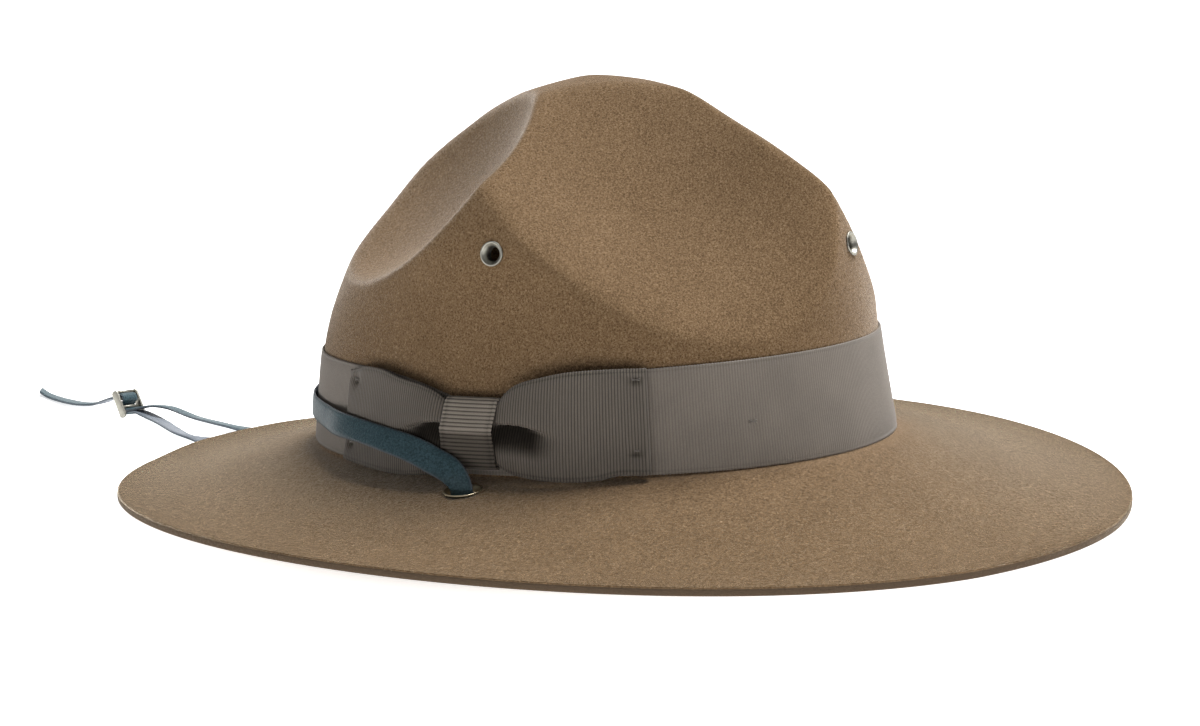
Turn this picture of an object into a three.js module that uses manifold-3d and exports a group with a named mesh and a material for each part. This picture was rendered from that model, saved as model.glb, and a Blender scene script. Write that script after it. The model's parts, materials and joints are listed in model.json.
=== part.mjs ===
// A felt campaign hat with four dents in its crown, a ribbon band with a flat bow,
// ventilation eyelets and a flat leather chin strap with its slide.
// Millimetres, +Z up. The hat stands on z = 0, its front looks along -Y and its left side,
// with the bow, along +X. Angles are in degrees round the crown, from +X towards +Y.
import * as THREE from 'three';
import { mergeVertices } from 'three/addons/utils/BufferGeometryUtils.js';
import Module from 'manifold-3d';

// ---- Driving dimensions ----
const feltThick = 2.6;
const brimHalfWidth = 163;
const brimHalfLength = 181;
const crownCentre = { x: 5, y: -2.9 };
const crownTilt = 0.038; // rise of the crown's foot per mm towards the rear
const crownHeight = 146.4;
const bandHeight = 33.7;
const ribbonThick = 0.8;
const clearGap = 0.3;
const strapWidth = 9;
const strapThick = 1;

// Half widths of the undented crown. Each row is a height above the floor.
const crownSections = [
  { height: 22.3, side: 87.0, front: 105.0, rear: 105.0 },
  { height: 56.0, side: 83.0, front: 101.2, rear: 99.7 },
  { height: 78.0, side: 81.0, front: 92.2, rear: 97.6 },
  { height: 98.1, side: 79.0, front: 79.0, rear: 93.7 },
  { height: 116.1, side: 71.2, front: 66.6, rear: 85.6 },
  { height: 131.1, side: 55.2, front: 46.4, rear: 71.9 },
  { height: 139.1, side: 35.4, front: 29.1, rear: 48.5 },
  { height: 144.4, side: 13.2, front: 12.3, rear: 21.9 },
  { height: crownHeight, side: 0, front: 0, rear: 0 },
];

// Each dent is a shallow bowl pressed in towards the middle of the crown. It faces `azimuth`
// and is tilted up by `tilt`. `depth` is its floor's distance from the middle, `across` and
// `along` are the radii of its bowl, `turn` turns the bowl, and `soft` rounds its edge.
const crownMiddleHeight = 62;
const crownDents = [
  { azimuth: 45.4, tilt: 42.5, depth: 68.2, across: 69, along: 193, turn: 36.9, soft: 31.4 },
  { azimuth: 134.6, tilt: 42.5, depth: 68.2, across: 69, along: 193, turn: -36.9, soft: 31.4 },
  { azimuth: -44.5, tilt: 43.3, depth: 62.2, across: 83, along: 87, turn: 2, soft: 3.5 },
  { azimuth: -135.5, tilt: 43.3, depth: 62.2, across: 83, along: 87, turn: -2, soft: 3.5 },
];

// The brim's rim waves gently: high at the sides, down on the floor at front and rear.
const rimWave = { rise: 3.1, azimuth: -10.4, sink: 0.4 };
const brimDish = 1.25; // 1 is a straight cone, and more flattens the brim towards its rim
const footFillet = { run: 5, drop: 1.8 };
const strapLift = { height: 1.6, azimuth: -96.5, spread: 15 }; // felt lifted over the strap

// `slack` is the extra room behind an eyelet, where the felt's ridge curves more.
const crownEyelets = [
  { side: 'left', azimuth: 3.7, rise: 0.349, slack: 0.3 },
  { side: 'right', azimuth: 176.3, rise: 0.349, slack: 0.3 },
  { side: 'front', azimuth: -90, rise: 0.33, slack: 0.2 },
  { side: 'rear', azimuth: 91.8, rise: 0.328, slack: 1 },
];
const crownEyeletSize = { hole: 2.35, barrel: 2.9, flange: 4.1, lip: 0.8 };
const brimEyelets = [
  { side: 'left', azimuth: 1.8, reach: 0.079, slack: 0 },
  { side: 'right', azimuth: 178.2, reach: 0.079, slack: 0 },
];
const brimEyeletSize = { hole: 5.2, barrel: 5.7, flange: 6.6, lip: 0.7 };

// Bow loops: `azimuth` runs from the knot outwards, `low` and `high` are the ribbon's edges as
// shares of the band's height, `lift` is its distance from the felt and `dip` its middle pleat.
const rearLoop = [
  { azimuth: 2.2, low: 0.22, high: 0.6, lift: 4.3, dip: 0 },
  { azimuth: 6.6, low: 0.2, high: 0.62, lift: 4.3, dip: 0 },
  { azimuth: 8.6, low: 0.065, high: 0.8, lift: 5.2, dip: 1.2 },
  { azimuth: 11.6, low: 0.02, high: 0.89, lift: 6.0, dip: 1.8 },
  { azimuth: 15.7, low: -0.01, high: 0.955, lift: 6.2, dip: 0.8 },
  { azimuth: 20, low: -0.028, high: 1.011, lift: 6.0, dip: 0 },
  { azimuth: 24.3, low: -0.018, high: 1.03, lift: 5.2, dip: 0 },
  { azimuth: 28.8, low: 0.025, high: 1.038, lift: 4.4, dip: 0 },
  { azimuth: 33.4, low: 0.02, high: 1.037, lift: 3.6, dip: 0 },
];
const frontLoop = [
  { azimuth: 0.8, low: 0.22, high: 0.6, lift: 4.3, dip: 0 },
  { azimuth: -3.6, low: 0.2, high: 0.61, lift: 4.3, dip: 0 },
  { azimuth: -5.6, low: 0.05, high: 0.745, lift: 5.0, dip: 1.2 },
  { azimuth: -9.3, low: -0.005, high: 0.817, lift: 5.6, dip: 1.6 },
  { azimuth: -14, low: -0.022, high: 0.866, lift: 5.3, dip: 0.5 },
  { azimuth: -20, low: -0.01, high: 0.933, lift: 4.6, dip: 0 },
  { azimuth: -25, low: 0.008, high: 0.94, lift: 4.0, dip: 0 },
  { azimuth: -30.4, low: 0.035, high: 0.875, lift: 3.4, dip: 0 },
];
const loopBack = { lift: 3.2, liftOut: 1.85 }; // the back layer, at the knot and further out
const bowKnot = { azimuth: 1.5, halfAngle: 5.2, back: 1.85 };
// The knot's front from its top fold down: a ribbon drawn together to a ridge in the middle.
const knotFront = [
  { level: 0.725, lift: 3.3 }, { level: 0.665, lift: 5.6 }, { level: 0.55, lift: 6.7 },
  { level: 0.42, lift: 7.8 }, { level: 0.28, lift: 6.9 }, { level: 0.15, lift: 5.8 },
  { level: 0.075, lift: 3.3 },
];
// The band's top edge is drawn down behind the bow.
const bandDip = { depth: 0.32, azimuth: 2, spread: 14.2, power: 1.6, wide: 0.03, wideSpread: 60 };

// The slide is a small metal ladder that stands tilted where both strap runs meet.
const slide = {
  centre: new THREE.Vector3(-39.1, -250.4, 5.8),
  heading: -104.1,
  slope: 59.3,
  lean: 8.6,
  length: 11.6,
  innerWidth: 9.8,
  plateThick: 1,
  plateDepth: 2.8,
  barThick: 1.2,
  squeeze: 0.92, // the strap's width inside the slide, as a share of its full width
  bars: [{ from: -2.0, to: -0.8 }, { from: 1.7, to: 3.0 }, { from: 4.6, to: 5.8 }],
};

// ---- Small helpers ----
const vec = (x, y, z) => new THREE.Vector3(x, y, z);
const radians = THREE.MathUtils.degToRad;
const mix = THREE.MathUtils.lerp;

// Catmull-Rom value between `b` and `c`, at `f` from 0 to 1, with neighbours `a` and `d`.
function smoothStep4(a, b, c, d, f) {
  const linear = c - a;
  const square = 2 * a - 5 * b + 4 * c - d;
  const cube = 3 * b - a - 3 * c + d;
  return 0.5 * (2 * b + f * (linear + f * (square + f * cube)));
}

// Reads a table of named columns at `at`, from 0 at its first row to 1 at its last.
function readTable(rows, at, beyond = (end, inner) => 2 * end - inner) {
  const last = rows.length - 1;
  const place = THREE.MathUtils.clamp(at, 0, 1) * last;
  const index = Math.min(Math.floor(place), last - 1);
  const result = {};
  for (const name of Object.keys(rows[0])) {
    const b = rows[index][name];
    const c = rows[index + 1][name];
    const a = index > 0 ? rows[index - 1][name] : beyond(b, c, name, 'first');
    const d = index + 2 <= last ? rows[index + 2][name] : beyond(c, b, name, 'last');
    result[name] = smoothStep4(a, b, c, d, place - index);
  }
  return result;
}

// The smaller of two values, rounded where they are within `width` of each other.
function softMin(a, b, width) {
  const overlap = Math.max(width - Math.abs(a - b), 0) / width;
  return Math.min(a, b) - overlap * overlap * width / 4;
}

// Joins rings of points into one closed solid. Its two ends are closed by strips across the
// ring, unless the last ring meets the first.
function loft(rings, joined = false) {
  const size = rings[0].length;
  const indices = [];
  const spans = joined ? rings.length : rings.length - 1;
  for (let ring = 0; ring < spans; ring += 1) {
    const next = (ring + 1) % rings.length;
    for (let point = 0; point < size; point += 1) {
      const after = (point + 1) % size;
      const corners = [ring * size + point, ring * size + after, next * size + after];
      indices.push(...corners, corners[0], corners[2], next * size + point);
    }
  }
  if (!joined) {
    const lastStart = (rings.length - 1) * size;
    for (let point = 0; point < size / 2 - 1; point += 1) {
      const near = [point, point + 1, size - 2 - point, size - 1 - point];
      const far = near.map((index) => index + lastStart);
      indices.push(near[0], near[2], near[1], near[0], near[3], near[2]);
      indices.push(far[0], far[1], far[2], far[0], far[2], far[3]);
    }
  }
  const geometry = new THREE.BufferGeometry();
  geometry.setFromPoints(rings.flat());
  geometry.setIndex(indices);
  return facingOut(geometry);
}

// Turns the faces round if the solid is inside out.
function facingOut(geometry) {
  const solid = geometry.index ? geometry : mergeVertices(bare(geometry));
  const place = solid.attributes.position;
  const index = solid.index.array;
  const corner = [vec(0, 0, 0), vec(0, 0, 0), vec(0, 0, 0)];
  let volume = 0;
  for (let face = 0; face < index.length; face += 3) {
    corner.forEach((point, offset) => point.fromBufferAttribute(place, index[face + offset]));
    volume += corner[0].dot(corner[1].clone().cross(corner[2]));
  }
  if (volume < 0) {
    for (let face = 0; face < index.length; face += 3) {
      [index[face], index[face + 1]] = [index[face + 1], index[face]];
    }
  }
  return solid;
}

function bare(geometry) {
  geometry.deleteAttribute('normal');
  geometry.deleteAttribute('uv');
  return geometry;
}

const wasm = await Module();
wasm.setup();

function toManifold(geometry) {
  const merged = mergeVertices(bare(geometry.clone()));
  const vertProperties = new Float32Array(merged.attributes.position.array);
  const triVerts = new Uint32Array(merged.index.array);
  return new wasm.Manifold(new wasm.Mesh({ numProp: 3, vertProperties, triVerts }));
}

function toGeometry(manifold) {
  const mesh = manifold.getMesh();
  const geometry = new THREE.BufferGeometry();
  geometry.setAttribute('position', new THREE.BufferAttribute(mesh.vertProperties, 3));
  geometry.setIndex(new THREE.BufferAttribute(mesh.triVerts, 1));
  return geometry;
}

// ---- Felt: one skin function for brim, fillet and crown ----
function crownEnd(end, inner, name, which) {
  if (which === 'first') return 2 * end - inner;
  return name === 'height' ? inner : -inner;
}

// The undented crown at `share` of its sections, 0 at its foot and 1 at its peak.
function domePoint(azimuth, share) {
  const section = readTable(crownSections, share, crownEnd);
  const angle = radians(azimuth);
  const reach = Math.sin(angle) < 0 ? section.front : section.rear;
  const x = crownCentre.x + section.side * Math.cos(angle);
  const y = crownCentre.y + reach * Math.sin(angle);
  const foot = crownSections[0].height;
  const down = THREE.MathUtils.clamp((crownHeight - section.height) / (crownHeight - foot), 0, 1);
  return vec(x, y, section.height + crownTilt * y * down ** 1.5);
}

function dentAxes(dent) {
  const azimuth = radians(dent.azimuth);
  const tilt = radians(dent.tilt);
  const flat = Math.cos(tilt);
  const facing = vec(Math.cos(azimuth) * flat, Math.sin(azimuth) * flat, Math.sin(tilt));
  const level = vec(-Math.sin(azimuth), Math.cos(azimuth), 0);
  const upward = facing.clone().cross(level);
  const turn = radians(dent.turn);
  const across = level.clone().multiplyScalar(Math.cos(turn)).addScaledVector(upward, Math.sin(turn));
  const along = upward.multiplyScalar(Math.cos(turn)).addScaledVector(level, -Math.sin(turn));
  return { facing, across, along };
}
const dentFrames = crownDents.map(dentAxes);
const crownMiddle = vec(crownCentre.x, crownCentre.y, crownMiddleHeight);

function crownPoint(azimuth, share) {
  const ray = domePoint(azimuth, share).sub(crownMiddle);
  const full = ray.length();
  let reach = full;
  crownDents.forEach((dent, index) => {
    const frame = dentFrames[index];
    const towards = ray.dot(frame.facing);
    const bowl = ray.dot(frame.across) ** 2 / (2 * dent.across)
      + ray.dot(frame.along) ** 2 / (2 * dent.along);
    const inside = towards * towards - 4 * bowl * dent.depth;
    if (towards > 0 && inside > 0) {
      const share4 = 2 * dent.depth / (towards + Math.sqrt(inside));
      reach = softMin(reach, share4 * full, dent.soft);
    }
  });
  return crownMiddle.clone().addScaledVector(ray, reach / full);
}

function rimHeight(azimuth) {
  const wave = 1 + Math.cos(2 * radians(azimuth - rimWave.azimuth));
  return rimWave.rise * wave - rimWave.sink;
}

function footPoint(azimuth) {
  const section = crownSections[0];
  const angle = radians(azimuth);
  const x = crownCentre.x + (section.side + footFillet.run) * Math.cos(angle);
  const y = crownCentre.y + (section.front + footFillet.run) * Math.sin(angle);
  return vec(x, y, section.height - footFillet.drop + crownTilt * y);
}

// The brim's top, at `out` from 0 at the crown's fillet to 1 at the rim.
function brimPoint(azimuth, out) {
  const foot = footPoint(azimuth);
  const angle = radians(azimuth);
  const rim = vec(brimHalfWidth * Math.cos(angle), brimHalfLength * Math.sin(angle), 0);
  const away = (azimuth - strapLift.azimuth) / strapLift.spread;
  const lift = strapLift.height * Math.exp(-(away ** 4)) * out ** 3;
  const rimTop = Math.max(rimHeight(azimuth), 0) + feltThick;
  const point = foot.clone().lerp(rim, out);
  const raw = mix(rimHeight(azimuth) + feltThick, foot.z, (1 - out) ** brimDish) + lift;
  point.z = Math.max(raw, feltThick);
  return out > 0.999 ? point.setZ(Math.max(rimTop + lift, point.z)) : point;
}

// The whole outer skin: `place` is 0 at the rim, 1 at the brim's foot, 2 at the crown's foot
// and 3 at the peak.
function skinPoint(azimuth, place) {
  if (place <= 1) return brimPoint(azimuth, 1 - place);
  if (place >= 2) return crownPoint(azimuth, place - 2);
  const foot = footPoint(azimuth);
  const wall = crownPoint(azimuth, 0);
  const corner = vec(mix(foot.x, wall.x, 0.85), mix(foot.y, wall.y, 0.85), foot.z);
  const f = place - 1;
  return foot.multiplyScalar((1 - f) ** 2).addScaledVector(corner, 2 * f * (1 - f))
    .addScaledVector(wall, f * f);
}

// A point at `offset` out from the skin, along its own normal.
function skinOffset(azimuth, place, offset) {
  const step = place < 2.98 ? 0.002 : -0.002;
  const point = skinPoint(azimuth, place);
  const round = skinPoint(azimuth + 0.2, place).sub(skinPoint(azimuth - 0.2, place));
  const upward = skinPoint(azimuth, place + step).sub(point).multiplyScalar(Math.sign(step));
  const normal = round.cross(upward).normalize();
  return { point: point.addScaledVector(normal, offset), normal };
}

const wrapAngle = (azimuth) => THREE.MathUtils.euclideanModulo(azimuth + 270, 360) - 270;

function skinRing(place, offset, columns) {
  const ring = [];
  for (let column = 0; column < columns; column += 1) {
    const azimuth = wrapAngle(column * 360 / columns);
    const { point } = skinOffset(azimuth, place, offset);
    ring.push(point.setZ(Math.max(point.z, 0)));
  }
  return ring;
}

function rimUnderRing(columns) {
  return skinRing(0, 0, columns).map((point) => point.setZ(Math.max(point.z - feltThick, 0)));
}

function feltGeometry() {
  const columns = 60;
  const brimPlaces = [0.03, 0.14, 0.32, 0.5, 0.7, 0.88, 1];
  const filletPlaces = [1.35, 1.7];
  const crownPlaces = [];
  const crownRows = 21;
  for (let row = 0; row <= crownRows; row += 1) crownPlaces.push(2 + 0.97 * row / crownRows);
  const places = [...brimPlaces, ...filletPlaces, ...crownPlaces];
  const outer = places.map((place) => skinRing(place, 0, columns));
  const inner = places.map((place) => skinRing(place, -feltThick, columns)).reverse();
  return loft([...inner, rimUnderRing(columns), skinRing(0, 0, columns), ...outer]);
}

// ---- Eyelets ----
function eyeletGeometry(size, slack) {
  const top = clearGap + 0.05;
  const under = -feltThick - clearGap - slack;
  const profile = [
    [size.hole, under - size.lip], [size.flange - 0.3, under - size.lip],
    [size.flange - 0.3, under], [size.barrel, under], [size.barrel, top],
    [size.flange, top], [size.flange, top + size.lip * 0.4],
    [mix(size.hole, size.flange, 0.5), top + size.lip], [size.hole, top + size.lip * 0.6],
    [size.hole, under - size.lip],
  ].map(([radius, height]) => new THREE.Vector2(radius, height));
  return facingOut(new THREE.LatheGeometry(profile, 16));
}

// Where an eyelet sits: on the felt, with its axis along the felt's normal.
function eyeletSeat(azimuth, place) {
  const { point, normal } = skinOffset(azimuth, place, 0);
  const turn = new THREE.Quaternion().setFromUnitVectors(vec(0, 1, 0), normal);
  return new THREE.Matrix4().compose(point, turn, vec(1, 1, 1));
}

const eyeletSeats = [
  ...crownEyelets.map((eyelet) => ({
    name: `crown_eyelet_${eyelet.side}`,
    slack: eyelet.slack,
    size: crownEyeletSize,
    seat: eyeletSeat(eyelet.azimuth, 2 + eyelet.rise),
  })),
  ...brimEyelets.map((eyelet) => ({
    name: `brim_eyelet_${eyelet.side}`,
    slack: eyelet.slack,
    size: brimEyeletSize,
    seat: eyeletSeat(eyelet.azimuth, 1 - eyelet.reach),
  })),
];

function feltBody() {
  let felt = toManifold(feltGeometry());
  for (const { size, seat } of eyeletSeats) {
    const punch = new THREE.CylinderGeometry(size.barrel + 0.45, size.barrel + 0.45, 16, 16);
    felt = felt.subtract(toManifold(punch.applyMatrix4(seat)));
  }
  return toGeometry(felt);
}

// ---- Ribbons: strips that follow the crown's wall ----
// `level` is a share of the band's height, and below 0 the strip hangs straight down.
function wallPoint(azimuth, level, lift) {
  const { point, normal } = skinOffset(azimuth, 2 + Math.max(level, 0) / 8, lift);
  point.z += Math.min(level, 0) * bandHeight;
  return { point, normal };
}

// The ring of points round a strip's section, from the points along its two faces.
const sectionRing = (outer, inner) => [...outer, ...inner.slice().reverse()];

// How far the band's top edge lies below its plain line, as a share of the band's height.
function bandDrop(azimuth) {
  const away = Math.abs(azimuth - bandDip.azimuth);
  const narrow = bandDip.depth * Math.exp(-((away / bandDip.spread) ** bandDip.power));
  return narrow + bandDip.wide * Math.exp(-((away / bandDip.wideSpread) ** 2));
}

function bandGeometry() {
  const columns = 60;
  const rings = [];
  for (let column = 0; column < columns; column += 1) {
    const azimuth = wrapAngle(column * 360 / columns);
    const rearward = Math.sin(radians(azimuth));
    const low = 0.025 * (1 - rearward);
    const high = 1 + 0.09 * rearward - bandDrop(azimuth);
    const levels = [low, (low + high) / 2, high];
    const face = (lift) => levels.map((level) => wallPoint(azimuth, level, lift).point);
    rings.push(sectionRing(face(clearGap + ribbonThick), face(clearGap)));
  }
  return loft(rings, true);
}

// A strip's solid from rows of points across its middle surface.
function stripGeometry(rows, thick, joined = false) {
  const last = rows.length - 1;
  const rings = rows.map((row, index) => {
    const before = rows[joined ? (index + last) % (last + 1) : Math.max(index - 1, 0)];
    const after = rows[joined ? (index + 1) % (last + 1) : Math.min(index + 1, last)];
    const faces = [1, -1].map((side) => row.map((point, across) => {
      const forward = after[across].clone().sub(before[across]);
      const neighbour = Math.min(across, row.length - 2);
      const sideways = row[neighbour + 1].clone().sub(row[neighbour]);
      const normal = forward.cross(sideways).normalize();
      return point.clone().addScaledVector(normal, side * thick / 2);
    }));
    return sectionRing(faces[0], faces[1]);
  });
  return loft(rings, joined);
}

// Places across a loop's width, and how much of its pleat each one takes.
const loopShares = [
  { share: 0, pleat: 0 }, { share: 0.28, pleat: 0 }, { share: 0.42, pleat: 1 },
  { share: 0.56, pleat: 0 }, { share: 1, pleat: 0 },
];

// A bow loop: its back layer lies on the band, folds at the far end and returns in front.
function loopGeometry(table) {
  const outward = Math.sign(table[table.length - 1].azimuth - table[0].azimuth);
  const steps = 15;
  const front = [];
  for (let step = 0; step <= steps; step += 1) front.push(readTable(table, step / steps));
  const end = table[table.length - 1];
  const fold = { ...end, azimuth: end.azimuth + outward * 0.9, lift: mix(end.lift, loopBack.liftOut, 0.5) };
  const back = front.slice().reverse().map((row) => {
    const away = Math.abs(row.azimuth - bowKnot.azimuth);
    const nearKnot = THREE.MathUtils.smoothstep(away, 5.6, 10);
    return { ...row, lift: mix(loopBack.lift, loopBack.liftOut, nearKnot), dip: 0 };
  });
  const rows = [...front, fold, ...back].map((row) => {
    return loopShares.map(({ share, pleat }) => {
      const level = mix(row.low, row.high, share);
      return wallPoint(row.azimuth, level, row.lift - pleat * row.dip).point;
    });
  });
  return stripGeometry(rows, ribbonThick);
}

// The knot: a short ribbon wrapped upright round the middle of the bow.
function knotGeometry() {
  const lowest = knotFront[knotFront.length - 1].level + 0.04;
  const highest = knotFront[0].level - 0.04;
  const backLevels = [lowest, (lowest + highest) / 2, highest];
  const behind = backLevels.map((level) => ({ level, lift: bowKnot.back }));
  const round = [...behind, ...knotFront];
  const places = [-1, 0, 1].map((share) => bowKnot.azimuth + share * bowKnot.halfAngle);
  const rows = round.map((row) => places.map(
    (azimuth) => wallPoint(azimuth, row.level, row.lift).point,
  ));
  return stripGeometry(rows, ribbonThick, true);
}

// ---- Slide ----
// Its axes: `length` climbs along the heading, and `lean` turns `width` about it.
const slideAxes = (() => {
  const heading = radians(slide.heading);
  const slope = radians(slide.slope);
  const forward = vec(Math.cos(heading), Math.sin(heading), 0);
  const length = forward.clone().multiplyScalar(Math.cos(slope)).setZ(Math.sin(slope));
  const width = vec(forward.y, -forward.x, 0).applyAxisAngle(length, radians(slide.lean));
  return { width, length, facing: width.clone().cross(length) };
})();

function slidePoint(along, outward) {
  return slide.centre.clone().addScaledVector(slideAxes.length, along)
    .addScaledVector(slideAxes.facing, outward);
}

function slideGeometry() {
  const { length, innerWidth, plateThick, plateDepth, barThick } = slide;
  let frame = null;
  const join = (geometry) => {
    const piece = toManifold(geometry);
    frame = frame ? frame.add(piece) : piece;
  };
  for (const bar of slide.bars) {
    const size = bar.to - bar.from;
    const box = new THREE.BoxGeometry(innerWidth + plateThick, size, barThick);
    join(box.translate(0, (bar.from + bar.to) / 2, 0));
  }
  const round = plateDepth / 2;
  const outline = new THREE.Shape();
  outline.absarc(0, length / 2 - round, round, 0, Math.PI);
  outline.absarc(0, round - length / 2, round, Math.PI, 2 * Math.PI);
  for (const side of [-1, 1]) {
    const options = { depth: plateThick, bevelEnabled: false, curveSegments: 5 };
    const plate = new THREE.ExtrudeGeometry(outline, options);
    plate.translate(0, 0, -plateThick / 2).rotateY(Math.PI / 2);
    join(plate.translate(side * (innerWidth + plateThick) / 2, 0, 0));
  }
  const { width, length: lengthways, facing } = slideAxes;
  const place = new THREE.Matrix4().makeBasis(width, lengthways, facing);
  return toGeometry(frame).applyMatrix4(place.setPosition(slide.centre));
}

// ---- Chin strap ----
// Rows of the strap's middle line, from its end at the slide, under the brim, up through the
// left eyelet, round the front of the crown, down through the right eyelet and back to the
// slide and the free end. `across` points over the strap's width.
const row = (x, y, z, across, width = 1) => ({ at: vec(x, y, z), across: vec(...across), width });
const onSlide = (along, outward) => {
  const point = slidePoint(along, outward);
  return { at: point, across: slideAxes.width.clone(), width: slide.squeeze };
};
const floorLevel = strapThick / 2 + 0.05;

const leftRun = [
  onSlide(-4.2, -0.4),
  row(-37.7, -244.3, 3.1, [-0.98, 0.12, -0.13], 0.98),
  row(-34.4, -234.5, 1.9, [-0.95, 0.25, -0.17]),
  row(-24.4, -220.1, 1.9, [-0.85, 0.44, -0.28]),
  row(-11.1, -201.1, 1.8, [-0.81, 0.52, -0.27]),
  row(-9.8, -189.8, floorLevel + 0.1, [-0.85, 0.53, -0.02]),
  row(2, -174, floorLevel, [-0.75, 0.66, 0]),
  row(20, -159, floorLevel, [-0.55, 0.84, 0]),
  row(44, -146, floorLevel, [-0.5, 0.87, 0]),
  row(67, -128, floorLevel, [-0.66, 0.75, 0]),
  row(89, -103, floorLevel, [-0.81, 0.58, 0]),
  row(104, -73, floorLevel, [-0.93, 0.36, 0]),
  row(111, -42, floorLevel, [-0.99, 0.1, 0]),
  row(112, -22, 1.6, [-0.96, 0.26, 0]),
  row(109, -9, 4.8, [-0.7, 0.7, 0.1]),
  row(104.6, -1.5, 9.8, [-0.25, 0.96, 0.1], 0.96),
  row(102.9, 0.8, 14.6, [0, 1, 0.05], 0.93),
  row(102.5, 0.6, 19.8, [-0.06, 1, 0.1], 0.93),
  row(102.4, -1.6, 23.6, [-0.26, 0.84, 0.45], 0.96),
  row(101.9, -5.2, 26.2, [-0.46, 0.6, 0.65]),
];
const overCrown = [
  { azimuth: -3.7, level: 0.142, lift: 10.3, lean: 30 },
  { azimuth: -7.1, level: 0.21, lift: 10.1, lean: 34 },
  { azimuth: -11.2, level: 0.26, lift: 9.6, lean: 35 },
  { azimuth: -16.3, level: 0.302, lift: 9.1, lean: 34 },
  { azimuth: -21.5, level: 0.33, lift: 8.2, lean: 32 },
  { azimuth: -27, level: 0.345, lift: 7.2, lean: 25 },
  { azimuth: -33, level: 0.35, lift: 5.7, lean: 12 },
  { azimuth: -39, level: 0.354, lift: 3.3, lean: 3 },
  { azimuth: -46, level: 0.362, lift: 2.3, lean: 0 },
  { azimuth: -56, level: 0.37, lift: 2.2, lean: 0 },
  { azimuth: -68, level: 0.375, lift: 2.2, lean: 0 },
  { azimuth: -80, level: 0.38, lift: 2.2, lean: 0 },
  { azimuth: -92, level: 0.38, lift: 2.2, lean: 0 },
  { azimuth: -104, level: 0.38, lift: 2.2, lean: 0 },
  { azimuth: -116, level: 0.375, lift: 2.2, lean: 0 },
  { azimuth: -128, level: 0.37, lift: 2.2, lean: 0 },
  { azimuth: -140, level: 0.355, lift: 2.2, lean: 0 },
  { azimuth: -152, level: 0.325, lift: 2.2, lean: 0 },
  { azimuth: -162, level: 0.27, lift: 2.4, lean: 0 },
  { azimuth: -170, level: 0.19, lift: 3.6, lean: 0 },
  { azimuth: -175.5, level: 0.1, lift: 5.8, lean: 0 },
];
const rightRun = [
  row(-92.4, 0.7, 23.4, [0.02, 0.95, 0.3], 0.93),
  row(-93, 1.1, 19.2, [0, 1, 0], 0.92),
  row(-93.7, 0.9, 14.6, [0, 1, 0], 0.93),
  row(-96, -1.5, 9.8, [-0.25, 0.96, -0.1], 0.96),
  row(-100.5, -9, 4.8, [-0.7, 0.7, -0.1]),
  row(-103.5, -22, 1.6, [-0.96, 0.26, 0]),
  row(-104, -42, floorLevel, [-0.99, -0.05, 0]),
  row(-101, -73, floorLevel, [-0.98, -0.2, 0]),
  row(-91, -102, floorLevel, [-0.91, -0.42, 0]),
  row(-74, -127, floorLevel, [-0.78, -0.62, 0]),
  row(-53, -146, floorLevel, [-0.74, -0.67, 0]),
  row(-38.5, -163, floorLevel, [-0.88, -0.48, 0]),
  row(-33.5, -180, floorLevel, [-1, -0.05, 0]),
  row(-33.9, -194, 1.4, [-0.95, 0.27, -0.17]),
  row(-38.4, -207.4, 1.5, [-0.94, 0.29, -0.2]),
  row(-43.1, -220.5, 1.7, [-0.98, -0.05, -0.2]),
  row(-39.7, -229.5, 5.3, [-0.96, -0.24, -0.14]),
  row(-40.5, -239.2, 5.2, [-0.98, -0.14, -0.14]),
  row(-38.3, -244.7, 4.3, [-1, 0.09, -0.01], 0.99),
  onSlide(-2.75, 0.3),
  onSlide(-2.75, -1.3),
  onSlide(-0.9, -1.9),
  onSlide(0.55, 0),
  onSlide(0.9, 1.2),
  onSlide(2.3, 1.55),
  onSlide(3.6, 1.2),
  onSlide(3.8, 0),
  onSlide(3.65, -1.8),
  row(-41.5, -258.5, 7.1, [-0.98, 0.2, -0.03]),
  row(-46, -266, 5.4, [-0.94, 0.32, 0.14]),
  row(-50.5, -275, 2.2, [-0.96, 0.27, 0.03]),
  row(-51.2, -285.1, 1, [-1, 0, -0.09]),
  row(-55.1, -298.6, 0.85, [-0.93, -0.36, -0.06]),
  row(-61.8, -312, 0.75, [-0.86, -0.51, 0]),
  row(-67, -321, 1.55, [-0.85, -0.52, 0.02]),
];

// Rows over the crown get their width square to the route, turned off the wall by `lean`.
function crownRun() {
  const rows = 26;
  const places = [];
  for (let index = 0; index < rows; index += 1) {
    const place = readTable(overCrown, index / (rows - 1));
    const { point, normal } = wallPoint(place.azimuth, place.level, place.lift);
    places.push({ point, normal, lean: radians(place.lean) });
  }
  return places.map(({ point, normal, lean }, index) => {
    const before = places[Math.max(index - 1, 0)].point;
    const after = places[Math.min(index + 1, places.length - 1)].point;
    const forward = after.clone().sub(before).normalize();
    const across = forward.clone().cross(normal).normalize().applyAxisAngle(forward, lean);
    return { at: point, across, width: 1 };
  });
}

function strapGeometry() {
  const rows = [...leftRun, ...crownRun(), ...rightRun].map((place) => ({
    x: place.at.x, y: place.at.y, z: place.at.z,
    acrossX: place.across.x, acrossY: place.across.y, acrossZ: place.across.z,
    width: place.width,
  }));
  const steps = rows.length - 1;
  const strip = [];
  for (let step = 0; step <= steps; step += 1) {
    const here = readTable(rows, step / steps);
    const half = vec(here.acrossX, here.acrossY, here.acrossZ).setLength(here.width * strapWidth / 2);
    const middle = vec(here.x, here.y, here.z);
    strip.push([middle.clone().sub(half), middle.clone().add(half)]);
  }
  return stripGeometry(strip, strapThick);
}

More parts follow.
